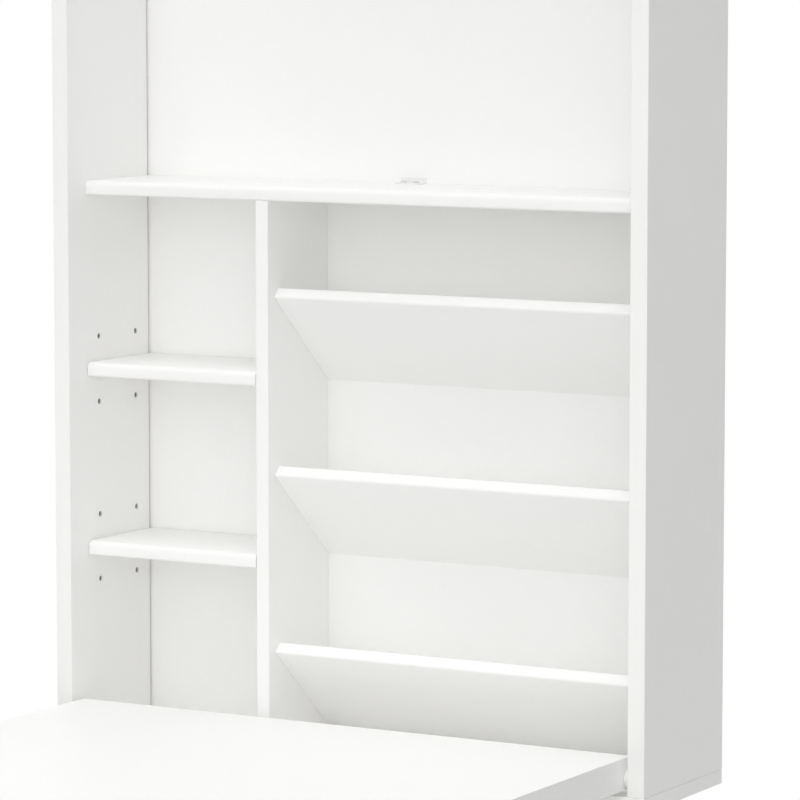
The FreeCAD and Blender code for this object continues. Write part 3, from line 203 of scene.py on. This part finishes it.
def floor_finish():
    finish = bpy.data.materials.new("floor")
    finish.use_nodes = True
    tree = Tree(finish.node_tree)
    shader = finish.node_tree.nodes["Principled BSDF"]
    shader.inputs["Roughness"].default_value = FLOOR_ROUGHNESS
    seen = lit_by_camera(tree)
    colour = tree.node("ShaderNodeVectorMath",
                       {0: FLOOR_COLOUR, "Scale": tree.ramp(seen, 0, 1, 1.0, FLOOR_SEEN)},
                       operation="SCALE").outputs["Vector"]
    tree.feed(shader.inputs["Base Color"], colour)
    away = tree.ramp(tree.vector("LENGTH", tree.place())["Value"], *FLOOR_FADE)
    white = tree.node("ShaderNodeEmission", {"Color": WHITE}).outputs[0]
    mixed = tree.node("ShaderNodeMixShader",
                      {0: tree.math("MULTIPLY", away, seen), 1: shader.outputs[0], 2: white})
    output = finish.node_tree.nodes["Material Output"]
    tree.feed(output.inputs["Surface"], mixed.outputs[0])
    return finish


def make_floor():
    """A pale floor that keeps the desk's shadow and fades to white away from it."""
    shape = bmesh.new()
    bmesh.ops.create_circle(shape, cap_ends=True, segments=FLOOR_SIDES, radius=FLOOR_RADIUS)
    mesh = bpy.data.meshes.new("floor")
    shape.to_mesh(mesh)
    shape.free()
    mesh.materials.append(floor_finish())
    floor = bpy.data.objects.new("floor", mesh)
    floor.location.z = cad_low.z
    scene.collection.objects.link(floor)


# ---- finishes, one for each material slot ----
SLOT_OF = {name: node.material_slots[0].material.name.split(".")[0]
           for name, node in frame["nodes"].items()}
# The values that nearly all of a noise texture lies between.
MIDDLE = (0.3, 0.7)


def new_finish(slot, roughness, **constants):
    """A material with its constants on the shader's own sockets, its tree and its shader."""
    finish = bpy.data.materials.new(f"{slot}_finish")
    finish.use_nodes = True
    shader = finish.node_tree.nodes["Principled BSDF"]
    shader.inputs["Roughness"].default_value = roughness
    for name, number in constants.items():
        shader.inputs[name].default_value = number
    return finish, Tree(finish.node_tree), shader


def surface(tree, shader, colour, roughness, normal):
    for name, source in (("Base Color", colour), ("Roughness", roughness), ("Normal", normal)):
        tree.feed(shader.inputs[name], source)


def opaque(colour, share=1.0):
    """A colour darkened to that share, with its alpha."""
    return tuple(part * share for part in colour) + (1,)


PAINT = (0.945, 0.944, 0.936)
PAINT_THIN = 0.985
PAINT_SHINE = {"Specular IOR Level": 0.35}
PAINT_ROUGHNESS = 0.42
PAINT_ROUGHNESS_RANGE = (0.38, 0.47)
PAINT_CLOUD = dict(scale=5, detail=3)
PAINT_MOTTLE = dict(scale=90, detail=4)
CLOUD_SHARE, MOTTLE_SHARE = 0.7, 0.3
PAINT_SHEEN = dict(scale=30, detail=4)
PAINT_GRAIN = dict(scale=260, stretch=(1, 1, 0.35), detail=4)
PAINT_GRAIN_DEPTH = 0.02 * MM
ORANGE_PEEL = dict(scale=900, detail=1)
ORANGE_PEEL_DEPTH = 0.018 * MM

# Bare board inside holes and grooves, toned grey and dark partly as painted shade for the shade in
# them.
RAW_BOARD_AND_SHADE = ((0.41, 0.39, 0.355, 1), (0.54, 0.52, 0.48, 1))
RAW_FIBRE = dict(scale=700, detail=6, roughness=0.7)
RAW_TONES = (0.35, 0.65)
# Depth below a board's outside where a hole or groove turns from lacquer to bare board, whose grey
# is also painted shade for the shade in the hole.
BARE_AND_SHADE_DEPTH = (1.0 * MM, 1.5 * MM)
# Boards whose holes and grooves show a grey that is partly bare board and partly painted shade.
PLAIN_BOXES = ("left_side_panel", "right_side_panel", "top_panel", "bottom_panel", "divider")


def paint_colour(tree):
    """Lacquer's colour with a very faint cloud in it."""
    cloud = tree.math("MULTIPLY", tree.noise(**PAINT_CLOUD), CLOUD_SHARE)
    mottle = tree.math("MULTIPLY", tree.noise(**PAINT_MOTTLE), MOTTLE_SHARE)
    tone = tree.ramp(tree.math("ADD", cloud, mottle), *MIDDLE)
    return tree.blend(tone, opaque(PAINT, PAINT_THIN), opaque(PAINT))


def bare_and_shaded_inside(tree, node):
    """0 on a board's outside, 1 in its holes and grooves below the reach of the spray, where the
    grey of bare board and painted shade goes.
    """
    low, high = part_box(node)
    point = tree.place()
    above_low = tree.vector("SUBTRACT", point, low)["Vector"]
    below_high = tree.vector("SUBTRACT", high, point)["Vector"]
    gaps = tree.axes(tree.vector("MINIMUM", above_low, below_high)["Vector"])
    depth = tree.math("MINIMUM", gaps["X"], tree.math("MINIMUM", gaps["Y"], gaps["Z"]))
    return tree.ramp(depth, *BARE_AND_SHADE_DEPTH)


def white_paint(node=None):
    """Lacquered board; a node that is a plain box gets bare board with painted shade in its holes
    and grooves.
    """
    name = "white_paint" if node is None else f"white_paint_{node}"
    finish, tree, shader = new_finish(name, PAINT_ROUGHNESS, **PAINT_SHINE)
    colour = paint_colour(tree)
    if node is not None:
        # The bare board's grey here is also painted shade for the holes and grooves.
        bare_board_and_shade = tree.blend(tree.ramp(tree.noise(**RAW_FIBRE), *RAW_TONES), *RAW_BOARD_AND_SHADE)
        colour = tree.blend(bare_and_shaded_inside(tree, node), colour, bare_board_and_shade)
    roughness = tree.ramp(tree.noise(**PAINT_SHEEN), *MIDDLE, *PAINT_ROUGHNESS_RANGE)
    grain = tree.bump(tree.noise(**PAINT_GRAIN), PAINT_GRAIN_DEPTH)
    peel = tree.bump(tree.noise(**ORANGE_PEEL), ORANGE_PEEL_DEPTH, grain)
    surface(tree, shader, colour, roughness, peel)
    return finish


HARDBOARD = ((0.30, 0.19, 0.105, 1), (0.42, 0.285, 0.165, 1))
HARDBOARD_FIBRE = dict(scale=420, stretch=(1, 1, 0.6), detail=8, roughness=0.7)
HARDBOARD_FLECK = dict(scale=70, detail=5)
HARDBOARD_TOOTH = dict(scale=500, detail=3)
HARDBOARD_TONES = (0.38, 0.62)
HARDBOARD_RELIEF = 0.03 * MM
# How far behind the panel's front its paint gives way to hardboard.
BACK_REACH = (0.3 * MM, 0.6 * MM)
BACK_ROUGHNESS = 0.45
BACK_PAINTED, BACK_BARE_ADDS = 0.43, 0.35
# The pattern that the press's screen leaves on the rear: radians a metre, and its strength.
SCREEN, SCREEN_STRENGTH = 3000, 0.8


def back_board():
    """Lacquered in front; its rear and edges are bare hardboard."""
    finish, tree, shader = new_finish("back_board", BACK_ROUGHNESS, **PAINT_SHINE)
    low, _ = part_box("back_panel")
    point = tree.axes(tree.place())
    bare = tree.ramp(point["Y"], *(low.y + depth for depth in BACK_REACH))
    both = tree.math("ADD", tree.noise(**HARDBOARD_FIBRE), tree.noise(**HARDBOARD_FLECK))
    tone = tree.ramp(tree.math("MULTIPLY", both, 0.5), *HARDBOARD_TONES)
    colour = tree.blend(bare, paint_colour(tree), tree.blend(tone, *HARDBOARD))
    roughness = tree.math("ADD", BACK_PAINTED, tree.math("MULTIPLY", bare, BACK_BARE_ADDS))
    waves = [tree.math("SINE", tree.math("MULTIPLY", point[axis], SCREEN)) for axis in "XZ"]
    screen = tree.math("MULTIPLY", tree.math("MULTIPLY", *waves),
                       tree.math("MULTIPLY", bare, SCREEN_STRENGTH))
    relief = tree.math("ADD", screen, tree.noise(**HARDBOARD_TOOTH))
    surface(tree, shader, colour, roughness, tree.bump(relief, HARDBOARD_RELIEF))
    return finish


TIMBER_ROUGHNESS = 0.6
TIMBER_ROUGHNESS_RANGE = (TIMBER_ROUGHNESS - 0.06, TIMBER_ROUGHNESS + 0.1)
TIMBER_RELIEF = 0.06 * MM
# The grain runs along X, where its noise is drawn out.
ALONG_GRAIN = (0.045, 1, 1)
LINES_A_BAND = 7
PORES_A_BAND = 14
LATE_WOOD = (0.45, 0.95)
LATE_TONE, PORE_TONE, LATE_RELIEF = 0.6, 0.45, 0.4


def timber(slot, pale, dark, bands):
    """Bare wood; bands is about how many bands of its grain fit in a metre."""
    finish, tree, shader = new_finish(slot, TIMBER_ROUGHNESS)
    band = tree.noise(bands, stretch=ALONG_GRAIN, detail=4, roughness=0.6, distortion=0.6)
    pores = tree.noise(bands * PORES_A_BAND, stretch=ALONG_GRAIN, detail=3)
    late = tree.ramp(tree.math("FRACT", tree.math("MULTIPLY", band, LINES_A_BAND)), *LATE_WOOD)
    tone = tree.math("ADD", tree.math("MULTIPLY", late, LATE_TONE),
                     tree.math("MULTIPLY", pores, PORE_TONE))
    relief = tree.math("ADD", pores, tree.math("MULTIPLY", late, LATE_RELIEF))
    surface(tree, shader, tree.blend(tone, opaque(pale), opaque(dark)),
            tree.ramp(pores, *MIDDLE, *TIMBER_ROUGHNESS_RANGE), tree.bump(relief, TIMBER_RELIEF))
    return finish


METAL_DULL = 0.96
METAL_ROUGHER, METAL_SMOOTHER = 0.1, 0.04
# A metal's scratches are this much finer than the patches of its tone.
SCRATCHES_A_PATCH = 4


def metal(slot, colour, roughness, scale, stretch=(1, 1, 1), depth=0.012 * MM):
    """Metal whose tone, gloss and surface vary a little."""
    finish, tree, shader = new_finish(slot, roughness, Metallic=1.0)
    patch = tree.noise(scale, stretch=stretch, detail=5, roughness=0.6)
    scratches = tree.noise(scale * SCRATCHES_A_PATCH, stretch=stretch, detail=2)
    tone = tree.ramp(patch, *MIDDLE)
    surface(tree, shader, tree.blend(tone, opaque(colour, METAL_DULL), opaque(colour)),
            tree.ramp(patch, *MIDDLE, roughness + METAL_ROUGHER, roughness - METAL_SMOOTHER),
            tree.bump(scratches, depth))
    return finish


MOULDED_TONES = (0.32, 0.68)
MOULDED_SMOOTHER, MOULDED_ROUGHER = 0.05, 0.07


def moulded(slot, colour, roughness, scale, depth, even):
    """Plastic, powder coat or felt: a fine surface; even is its darker tone's share."""
    finish, tree, shader = new_finish(slot, roughness)
    speck = tree.noise(scale, detail=4, roughness=0.65)
    tone = tree.ramp(speck, *MOULDED_TONES)
    surface(tree, shader, tree.blend(tone, opaque(colour, even), opaque(colour)),
            tree.ramp(speck, *MIDDLE, roughness - MOULDED_SMOOTHER, roughness + MOULDED_ROUGHER),
            tree.bump(speck, depth))
    return finish


# The finishes of each kind: their slots, and what they say about each.
TIMBERS = {
    "bare_wood": dict(pale=(0.80, 0.62, 0.40), dark=(0.58, 0.37, 0.19), bands=60),
    "dowel_wood": dict(pale=(0.78, 0.60, 0.42), dark=(0.62, 0.43, 0.27), bands=300),
}
METALS = {
    "steel": dict(colour=(0.70, 0.70, 0.715), roughness=0.30, scale=900,
                  stretch=(0.12, 1, 1), depth=0.006 * MM),
    "zinc": dict(colour=(0.69, 0.70, 0.715), roughness=0.44, scale=700),
    "nickel": dict(colour=(0.60, 0.595, 0.585), roughness=0.24, scale=90, depth=0.002 * MM),
}
MOULDINGS = {
    "ferrite": dict(colour=(0.055, 0.055, 0.06), roughness=0.62, scale=900,
                    depth=0.03 * MM, even=0.85),
    "white_metal": dict(colour=(0.885, 0.884, 0.876), roughness=0.40, scale=1400,
                        depth=0.01 * MM, even=0.99),
    "white_plastic": dict(colour=(0.89, 0.89, 0.88), roughness=0.42, scale=800,
                          depth=0.01 * MM, even=0.975),
    "nylon": dict(colour=(0.87, 0.868, 0.85), roughness=0.40, scale=400,
                  depth=0.01 * MM, even=0.98),
    "felt_pad": dict(colour=(0.34, 0.335, 0.32), roughness=0.95, scale=1600,
                     depth=0.25 * MM, even=0.7),
}


def make_finishes():
    finishes = {"white_paint": white_paint(), "back_board": back_board()}
    for maker, rows in ((timber, TIMBERS), (metal, METALS), (moulded, MOULDINGS)):
        for slot, looks in rows.items():
            finishes[slot] = maker(slot, **looks)
    return finishes


def dress_frame(finishes):
    """Gives every CAD node the finish of its own slot."""
    for name, node in frame["nodes"].items():
        finish = white_paint(name) if name in PLAIN_BOXES else finishes[SLOT_OF[name]]
        for place in node.material_slots:
            place.material = finish


# ---- hardware made in full, in the places that the CAD's plain rods keep for it ----
BODY_OF = {node: body for body, nodes in frame["record"]["behaviour"]["bodies"].items()
           for node in nodes}
# Corners nearer than this are one corner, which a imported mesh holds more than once.
WELD = 0.01 * MM
SIDES = 24
# Creases sharper than this stay crisp on the made pieces.
CRISP = math.radians(34)


def islands(node):
    """The separate solids of a node, each as the places of its corners."""
    shape = bmesh.new()
    shape.from_mesh(frame["nodes"][node].data)
    bmesh.ops.remove_doubles(shape, verts=shape.verts, dist=WELD)
    shape.verts.ensure_lookup_table()
    seen = set()
    found = []
    for start in shape.verts:
        if start.index in seen:
            continue
        seen.add(start.index)
        grown = [start]
        for vert in grown:
            for edge in vert.link_edges:
                other = edge.other_vert(vert)
                if other.index not in seen:
                    seen.add(other.index)
                    grown.append(other)
        found.append([vert.co.copy() for vert in grown])
    shape.free()
    return found


def corners(points):
    """The lowest and the highest corner of the box around the points."""
    low = Vector(min(point[axis] for point in points) for axis in range(3))
    high = Vector(max(point[axis] for point in points) for axis in range(3))
    return low, high


class Rod:
    """A round rod of the CAD: its wider end first, its two radii, its length and its place."""

    def __init__(self, points):
        low, high = corners(points)
        spans = high - low
        axis = max(range(3), key=lambda number: spans[number])
        middle = (low + high) / 2
        across = [number for number in range(3) if number != axis]

        def widest(end):
            return max(math.hypot(*(point[number] - middle[number] for number in across))
                       for point in points if abs(point[axis] - end) < 2 * WELD)

        ends = sorted((low[axis], high[axis]), key=lambda end: -round(widest(end) / WELD))
        start = middle.copy()
        start[axis] = ends[0]
        way = Vector((0, 0, 0))
        way[axis] = 1 if ends[1] > ends[0] else -1
        self.length = spans[axis]
        self.wide, self.narrow = widest(ends[0]), widest(ends[1])
        self.place = Matrix.Translation(start) @ way.to_track_quat("Z", "Y").to_matrix().to_4x4()


def down_from_top(low, high):
    """The place at the middle of a box's top, with its Z pointing down."""
    middle = (low + high) / 2
    return Matrix.Translation((middle.x, middle.y, high.z)) @ Matrix.Rotation(math.pi, 4, "X")


def ring(radius, sides=SIDES):
    return [(radius * math.cos(math.tau * step / sides), radius * math.sin(math.tau * step / sides))
            for step in range(sides)]


def skin(shape, place, rings):
    """A closed skin through rings of points, each a height and its outline, capped at the ends."""
    rows = [[shape.verts.new(place @ Vector((x, y, height))) for x, y in outline]
            for height, outline in rings]
    for row, after in zip(rows, rows[1:]):
        for side in range(len(row)):
            follow = (side + 1) % len(row)
            shape.faces.new((row[side], row[follow], after[follow], after[side]))
    shape.faces.new(rows[0])
    shape.faces.new(rows[-1])


def turned(shape, place, profile, sides=SIDES):
    """A lathe-turned shape; the profile is pairs of height and radius, in metres."""
    skin(shape, place, [(height, ring(radius, sides)) for height, radius in profile])


def chamfered(shape, points, ease):
    """A plain pin with both ends chamfered."""
    rod = Rod(points)
    turned(shape, rod.place, [(0, rod.wide - ease), (ease, rod.wide),
                              (rod.length - ease, rod.wide), (rod.length, rod.wide - ease)])


# A thread's root as a share of its crest, and how much narrower than its pitch its ridge is.
THREAD_ROOT = 0.72
RIDGE = 3
RINGS_A_TURN = 5


def thread(crest, start, end, pitch):
    """Rings of a screw thread that runs in and out over its first and last turn."""
    count = math.ceil((end - start) / pitch * RINGS_A_TURN)
    rings = []
    for number in range(count + 1):
        height = start + (end - start) * number / count
        full = min(1, (height - start) / pitch, (end - height) / pitch)
        outline = []
        for side in range(SIDES):
            turn = (height / pitch - side / SIDES) % 1
            ridge = max(0, 1 - RIDGE * abs(turn - 0.5)) * full
            radius = crest * (THREAD_ROOT + (1 - THREAD_ROOT) * ridge)
            angle = math.tau * side / SIDES
            outline.append((radius * math.cos(angle), radius * math.sin(angle)))
        rings.append((height, outline))
    return rings


# Heads from the recess outwards: shares of the head's radius and of its depth.
FLUSH_HEAD = ((0.80, 0.0), (0.96, 0.02), (1.0, 0.08), (1.0, 0.16))
PAN_HEAD = ((0.60, 0.05), (0.82, 0.2), (0.96, 0.48), (1.0, 0.75), (1.0, 1.0))
# The cross recess: shares of the head's radius and depth, and what its floor keeps of them.
RECESS_REACH = 0.56
RECESS_HALF = 0.13
RECESS_DEPTH = 0.72
RECESS_FLOOR_REACH, RECESS_FLOOR_HALF = 0.5, 0.6
# The plain shank narrows to this share at its end.
SHANK_END = 0.95
# In radii of the shank: from its end to the thread, and the length of the point.
THREAD_AFTER = 0.3
POINT_LENGTH = 2.2
# Where the point has a waist, its share of the thread's root there, and the tip's radius.
WAIST_ALONG, WAIST_SHARE = 0.6, 0.5
TIP_SHARE = 0.06


def cross(reach, half):
    """A cross recess's outline, its corners in step with a ring's."""
    quarter = [(reach, 0), (reach, half), ((reach + half) / 2, half), (half, half),
               (half, (reach + half) / 2), (half, reach)]
    outline = []
    for _ in range(4):
        outline += quarter
        quarter = [(-y, x) for x, y in quarter]
    return outline


def screw(shape, points, head_depth, plain, pitch, head=FLUSH_HEAD):
    """A cross-headed wood screw: recess, head, plain shank, thread and point."""
    rod = Rod(points)
    wide, shank = rod.wide, rod.narrow
    reach, half = wide * RECESS_REACH, wide * RECESS_HALF
    point = rod.length - POINT_LENGTH * shank
    bottom = cross(reach * RECESS_FLOOR_REACH, half * RECESS_FLOOR_HALF)
    rings = [(head_depth * RECESS_DEPTH, bottom), (0, cross(reach, half))]
    rings += [(head_depth * depth, ring(wide * share)) for share, depth in head]
    rings += [(head_depth, ring(shank)), (head_depth + plain, ring(shank * SHANK_END))]
    rings += thread(shank, head_depth + plain + shank * THREAD_AFTER, point, pitch)
    rings += [(point + POINT_LENGTH * shank * WAIST_ALONG, ring(shank * THREAD_ROOT * WAIST_SHARE)),
              (rod.length, ring(shank * TIP_SHARE))]
    skin(shape, rod.place, rings)


# Shares of a dowel's radius.
DOWEL_EASE, FLUTE_DEPTH = 0.22, 0.09


def dowel(shape, points):
    """A beech dowel: fluted along its length, chamfered at both ends."""
    rod = Rod(points)
    ease, flute = rod.wide * DOWEL_EASE, rod.wide * FLUTE_DEPTH
    fluted = [tuple(part * (rod.wide - flute * (number % 2)) / rod.wide for part in point)
              for number, point in enumerate(ring(rod.wide))]
    end = ring(rod.wide - ease)
    skin(shape, rod.place, [(0, end), (ease, fluted), (rod.length - ease, fluted),
                            (rod.length, end)])


# A brad's domed head down to its neck: heights, and shares of the head's radius.
BRAD_HEAD = ((0, 0.55), (0.08 * MM, 0.85), (0.25 * MM, 1.0), (0.5 * MM, 1.0))
BRAD_NECK = 0.6 * MM
BRAD_POINT = 2.2 * MM
BRAD_TIP = 0.1
BRAD_SIDES = 16


def brad(shape, points):
    """A panel pin: a low domed head, a thin shank and a cut point."""
    rod = Rod(points)
    profile = [(height, rod.wide * share) for height, share in BRAD_HEAD]
    profile += [(BRAD_NECK, rod.narrow), (rod.length - BRAD_POINT, rod.narrow),
                (rod.length, rod.narrow * BRAD_TIP)]
    turned(shape, rod.place, profile, BRAD_SIDES)


# A cam bolt from its foot: heights, and shares of its radius. The last rows count back from
# its end: the neck that the cam takes hold of, and the ball.
CAM_FOOT = 0.5
CAM_THREAD = dict(start=0.4 * MM, end=8 * MM, pitch=1.4 * MM)
CAM_SHANK = ((8.4 * MM, 1.0), (9.4 * MM, 1.0), (9.6 * MM, 0.8))
CAM_END = ((4.2 * MM, 0.8), (3.8 * MM, 0.5), (2.6 * MM, 0.5), (2.3 * MM, 0.9), (1.6 * MM, 1.0),
           (0.6 * MM, 0.85), (0, 0.4))


def cam_bolt(shape, points):
    """A cam bolt: thread in the side panel, plain shank, neck and ball."""
    rod = Rod(points)
    rings = [(0, ring(rod.wide * CAM_FOOT))] + thread(rod.wide, **CAM_THREAD)
    rings += [(height, ring(rod.wide * share)) for height, share in CAM_SHANK]
    rings += [(rod.length - back, ring(rod.wide * share)) for back, share in CAM_END]
    skin(shape, rod.place, rings)


KNOB_BORE = 9 * MM
KNOB_BORE_RADIUS = 2.05 * MM
KNOB_SIDES = 64
# From its foot on the rail to its face: shares of its height and of its radius.
KNOB_OUTLINE = ((0, 0.50), (0.015, 0.545), (0.10, 0.56), (0.15, 0.535), (0.24, 0.475),
                (0.34, 0.455), (0.42, 0.50), (0.50, 0.62), (0.57, 0.80), (0.63, 0.925),
                (0.70, 0.985), (0.77, 1.0), (0.84, 0.975), (0.90, 0.905), (0.95, 0.78),
                (0.98, 0.62), (0.995, 0.42), (1.0, 0.20))


def knob(shape, points):
    """The pull knob, turned in one piece and bored for its screw."""
    low, high = corners(points)
    radius, length = (high.x - low.x) / 2, high.z - low.z
    profile = [(KNOB_BORE, KNOB_BORE_RADIUS), (0, KNOB_BORE_RADIUS)]
    profile += [(length * along, radius * out) for along, out in KNOB_OUTLINE]
    turned(shape, down_from_top(low, high), profile, KNOB_SIDES)


PAD_SIDES = 64
PAD_CORNER = 2.5 * MM
PAD_LEAST_CORNER = 0.4 * MM
PAD_EASE = 0.55 * MM
PAD_LEAST_EASE = 0.15
# From the glued face to the worn one: share of the height, and how far the outline draws in.
PAD_ROWS = ((0, 1.6), (0, 0.25), (0.12, 0), (0.35, -0.1), (0.62, 0), (0.84, 0.4), (0.96, 1.0),
            (1.0, 1.9), (1.0, 3.4))
FELT_RELIEF = 0.11 * MM
FIBRES_A_METRE = 900


def rounded(half_x, half_y, corner):
    """A rounded rectangle's outline, evenly stepped."""
    outline = []
    for step in range(PAD_SIDES):
        quarter, along = divmod(step, PAD_SIDES // 4)
        angle = math.pi / 2 * (quarter + along / (PAD_SIDES // 4 - 1))
        right = 1 if quarter in (0, 3) else -1
        up = 1 if quarter in (0, 1) else -1
        outline.append((right * (half_x - corner) + corner * math.cos(angle),
                        up * (half_y - corner) + corner * math.sin(angle)))
    return outline


def felt_pad(shape, points):
    """A thick felt pad under a leg: eased edges, a little worn and fibrous."""
    low, high = corners(points)
    middle, half = (low + high) / 2, (high - low) / 2
    rings = []
    for share, inward in PAD_ROWS:
        ease = max(inward, PAD_LEAST_EASE) * PAD_EASE + FELT_RELIEF
        corner = max(PAD_CORNER - ease, PAD_LEAST_CORNER)
        outline = []
        for x, y in rounded(half.x - ease, half.y - ease, corner):
            spot = Vector((middle.x + x, y, share * half.z)) * FIBRES_A_METRE
            fibre = noise.noise(spot) * FELT_RELIEF
            outline.append((x + fibre * (1 if x > 0 else -1), y + fibre * (1 if y > 0 else -1)))
        rings.append((share * half.z * 2, outline))
    skin(shape, down_from_top(low, high), rings)


# Each node that is made in full, how it is made, and the sizes that its maker needs.
HARDWARE = {
    "carcase_screws": (screw, dict(head_depth=3 * MM, plain=10 * MM, pitch=2.1 * MM)),
    "catch_screws": (screw, dict(head_depth=1.2 * MM, plain=12 * MM, pitch=1.1 * MM)),
    "bracket_screws": (screw, dict(head_depth=1.2 * MM, plain=1.2 * MM, pitch=1.1 * MM,
                                   head=PAN_HEAD)),
    "strike_screws": (screw, dict(head_depth=1 * MM, plain=0.4 * MM, pitch=1.1 * MM)),
    "leg_catch_screws": (screw, dict(head_depth=1.6 * MM, plain=0.4 * MM, pitch=1.1 * MM)),
    "carcase_dowels": (dowel, {}),
    "fixed_shelf_dowels": (dowel, {}),
    "divider_dowels": (dowel, {}),
    "pocket_board_dowels": (dowel, {}),
    "hanging_rail_dowels": (dowel, {}),
    "desk_dowels": (dowel, {}),
    "leg_dowels": (dowel, {}),
    "shelf_pins": (chamfered, dict(ease=0.5 * MM)),
    "pivot_pin_left": (chamfered, dict(ease=0.7 * MM)),
    "pivot_pin_right": (chamfered, dict(ease=0.7 * MM)),
    "leg_pivot_pins": (chamfered, dict(ease=0.6 * MM)),
    "knob_screw": (chamfered, dict(ease=0.4 * MM)),
    "back_panel_brads": (brad, {}),
    "cam_bolts": (cam_bolt, {}),
    "pull_knob": (knob, {}),
    "foot_pads": (felt_pad, {}),
}


def stand_for(node, shape, finish):
    """Makes the finished piece that stands for a CAD node, on the same body."""
    bmesh.ops.recalc_face_normals(shape, faces=shape.faces)
    for face in shape.faces:
        face.smooth = True
    mesh = bpy.data.meshes.new(f"{node}_made")
    shape.to_mesh(mesh)
    shape.free()
    mesh.set_sharp_from_angle(angle=CRISP)
    mesh.materials.append(finish)
    piece = bpy.data.objects.new(f"{node}_made", mesh)
    scene.collection.objects.link(piece)
    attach(piece, BODY_OF[node])
    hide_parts(node)


def make_hardware(finishes):
    for node, (maker, settings) in HARDWARE.items():
        shape = bmesh.new()
        for points in islands(node):
            maker(shape, points, **settings)
        stand_for(node, shape, finishes[SLOT_OF[node]])


# ---- softened edges of the CAD boards ----
# The bevel leaves corners nearer than this, which are then joined.
CLOSE_UP = 0.004 * MM
CREASE = math.radians(28)
SQUARE = math.radians(62)
SHORTEST_SOFTENED = 3 * MM
ROUND_STEPS = 2
# The desk's top board has rounded edges of its own, and its rails lie flush with it.
DESK_TOP = "desk_top_board"
FLUSH = 0.15 * MM
# How far each finish takes the sharpness off its edges.
SOFTENED = {"white_paint": 0.6 * MM, "back_board": 0.3 * MM, "bare_wood": 0.8 * MM,
            "white_plastic": 0.5 * MM, "white_metal": 0.25 * MM, "nylon": 0.25 * MM,
            "nickel": 0.3 * MM, "zinc": 0.2 * MM, "steel": 0.12 * MM, "ferrite": 0.2 * MM}


def weld_group():
    """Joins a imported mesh's split corners, shades it smooth with its creases kept sharp, and
    marks the long square edges for the bevel."""
    group = bpy.data.node_groups.new("weld", "GeometryNodeTree")
    for way in ("INPUT", "OUTPUT"):
        group.interface.new_socket("Geometry", in_out=way, socket_type="NodeSocketGeometry")
    tree = Tree(group)
    bend = tree.node("GeometryNodeInputMeshEdgeAngle").outputs["Unsigned Angle"]
    ends = tree.node("GeometryNodeInputMeshEdgeVertices").outputs
    length = tree.vector("DISTANCE", ends["Position 1"], ends["Position 2"])["Value"]
    marked = tree.node("FunctionNodeBooleanMath",
                       {0: tree.over(bend, SQUARE), 1: tree.over(length, SHORTEST_SOFTENED)},
                       operation="AND").outputs[0]
    steps = (
        ("MergeByDistance", {"Distance": WELD}, {}),
        ("RemoveAttribute", {"Name": "custom_normal"}, {}),
        ("SetShadeSmooth", {"Shade Smooth": True}, {"domain": "FACE"}),
        ("SetShadeSmooth", {"Selection": tree.over(bend, CREASE), "Shade Smooth": False},
         {"domain": "EDGE"}),
        ("StoreNamedAttribute", {"Name": "bevel_weight_edge", "Value": marked},
         {"data_type": "FLOAT", "domain": "EDGE"}),
    )
    geometry = tree.node("NodeGroupInput").outputs[0]
    for kind, feeds, settings in steps:
        made = tree.node(f"GeometryNode{kind}", {"Geometry": geometry, **feeds}, **settings)
        geometry = made.outputs[0]
    tree.node("NodeGroupOutput", {0: geometry})
    return group


def soften(node, group, width):
    weld = node.modifiers.new("weld", "NODES")
    weld.node_group = group
    round_off = node.modifiers.new("round off", "BEVEL")
    round_off.limit_method = "WEIGHT"
    round_off.width = width
    round_off.segments = ROUND_STEPS
    round_off.use_clamp_overlap = False
    round_off.harden_normals = True
    close_up = node.modifiers.new("close up", "WELD")
    close_up.merge_threshold = CLOSE_UP


def soften_frame():
    group = weld_group()
    for name, node in frame["nodes"].items():
        slot = SLOT_OF[name]
        if slot in SOFTENED and name not in HARDWARE and name != DESK_TOP:
            soften(node, group, FLUSH if name.startswith("desk_") else SOFTENED[slot])


make_camera()
make_world()
make_floor()
finishes = make_finishes()
dress_frame(finishes)
make_hardware(finishes)
soften_frame()
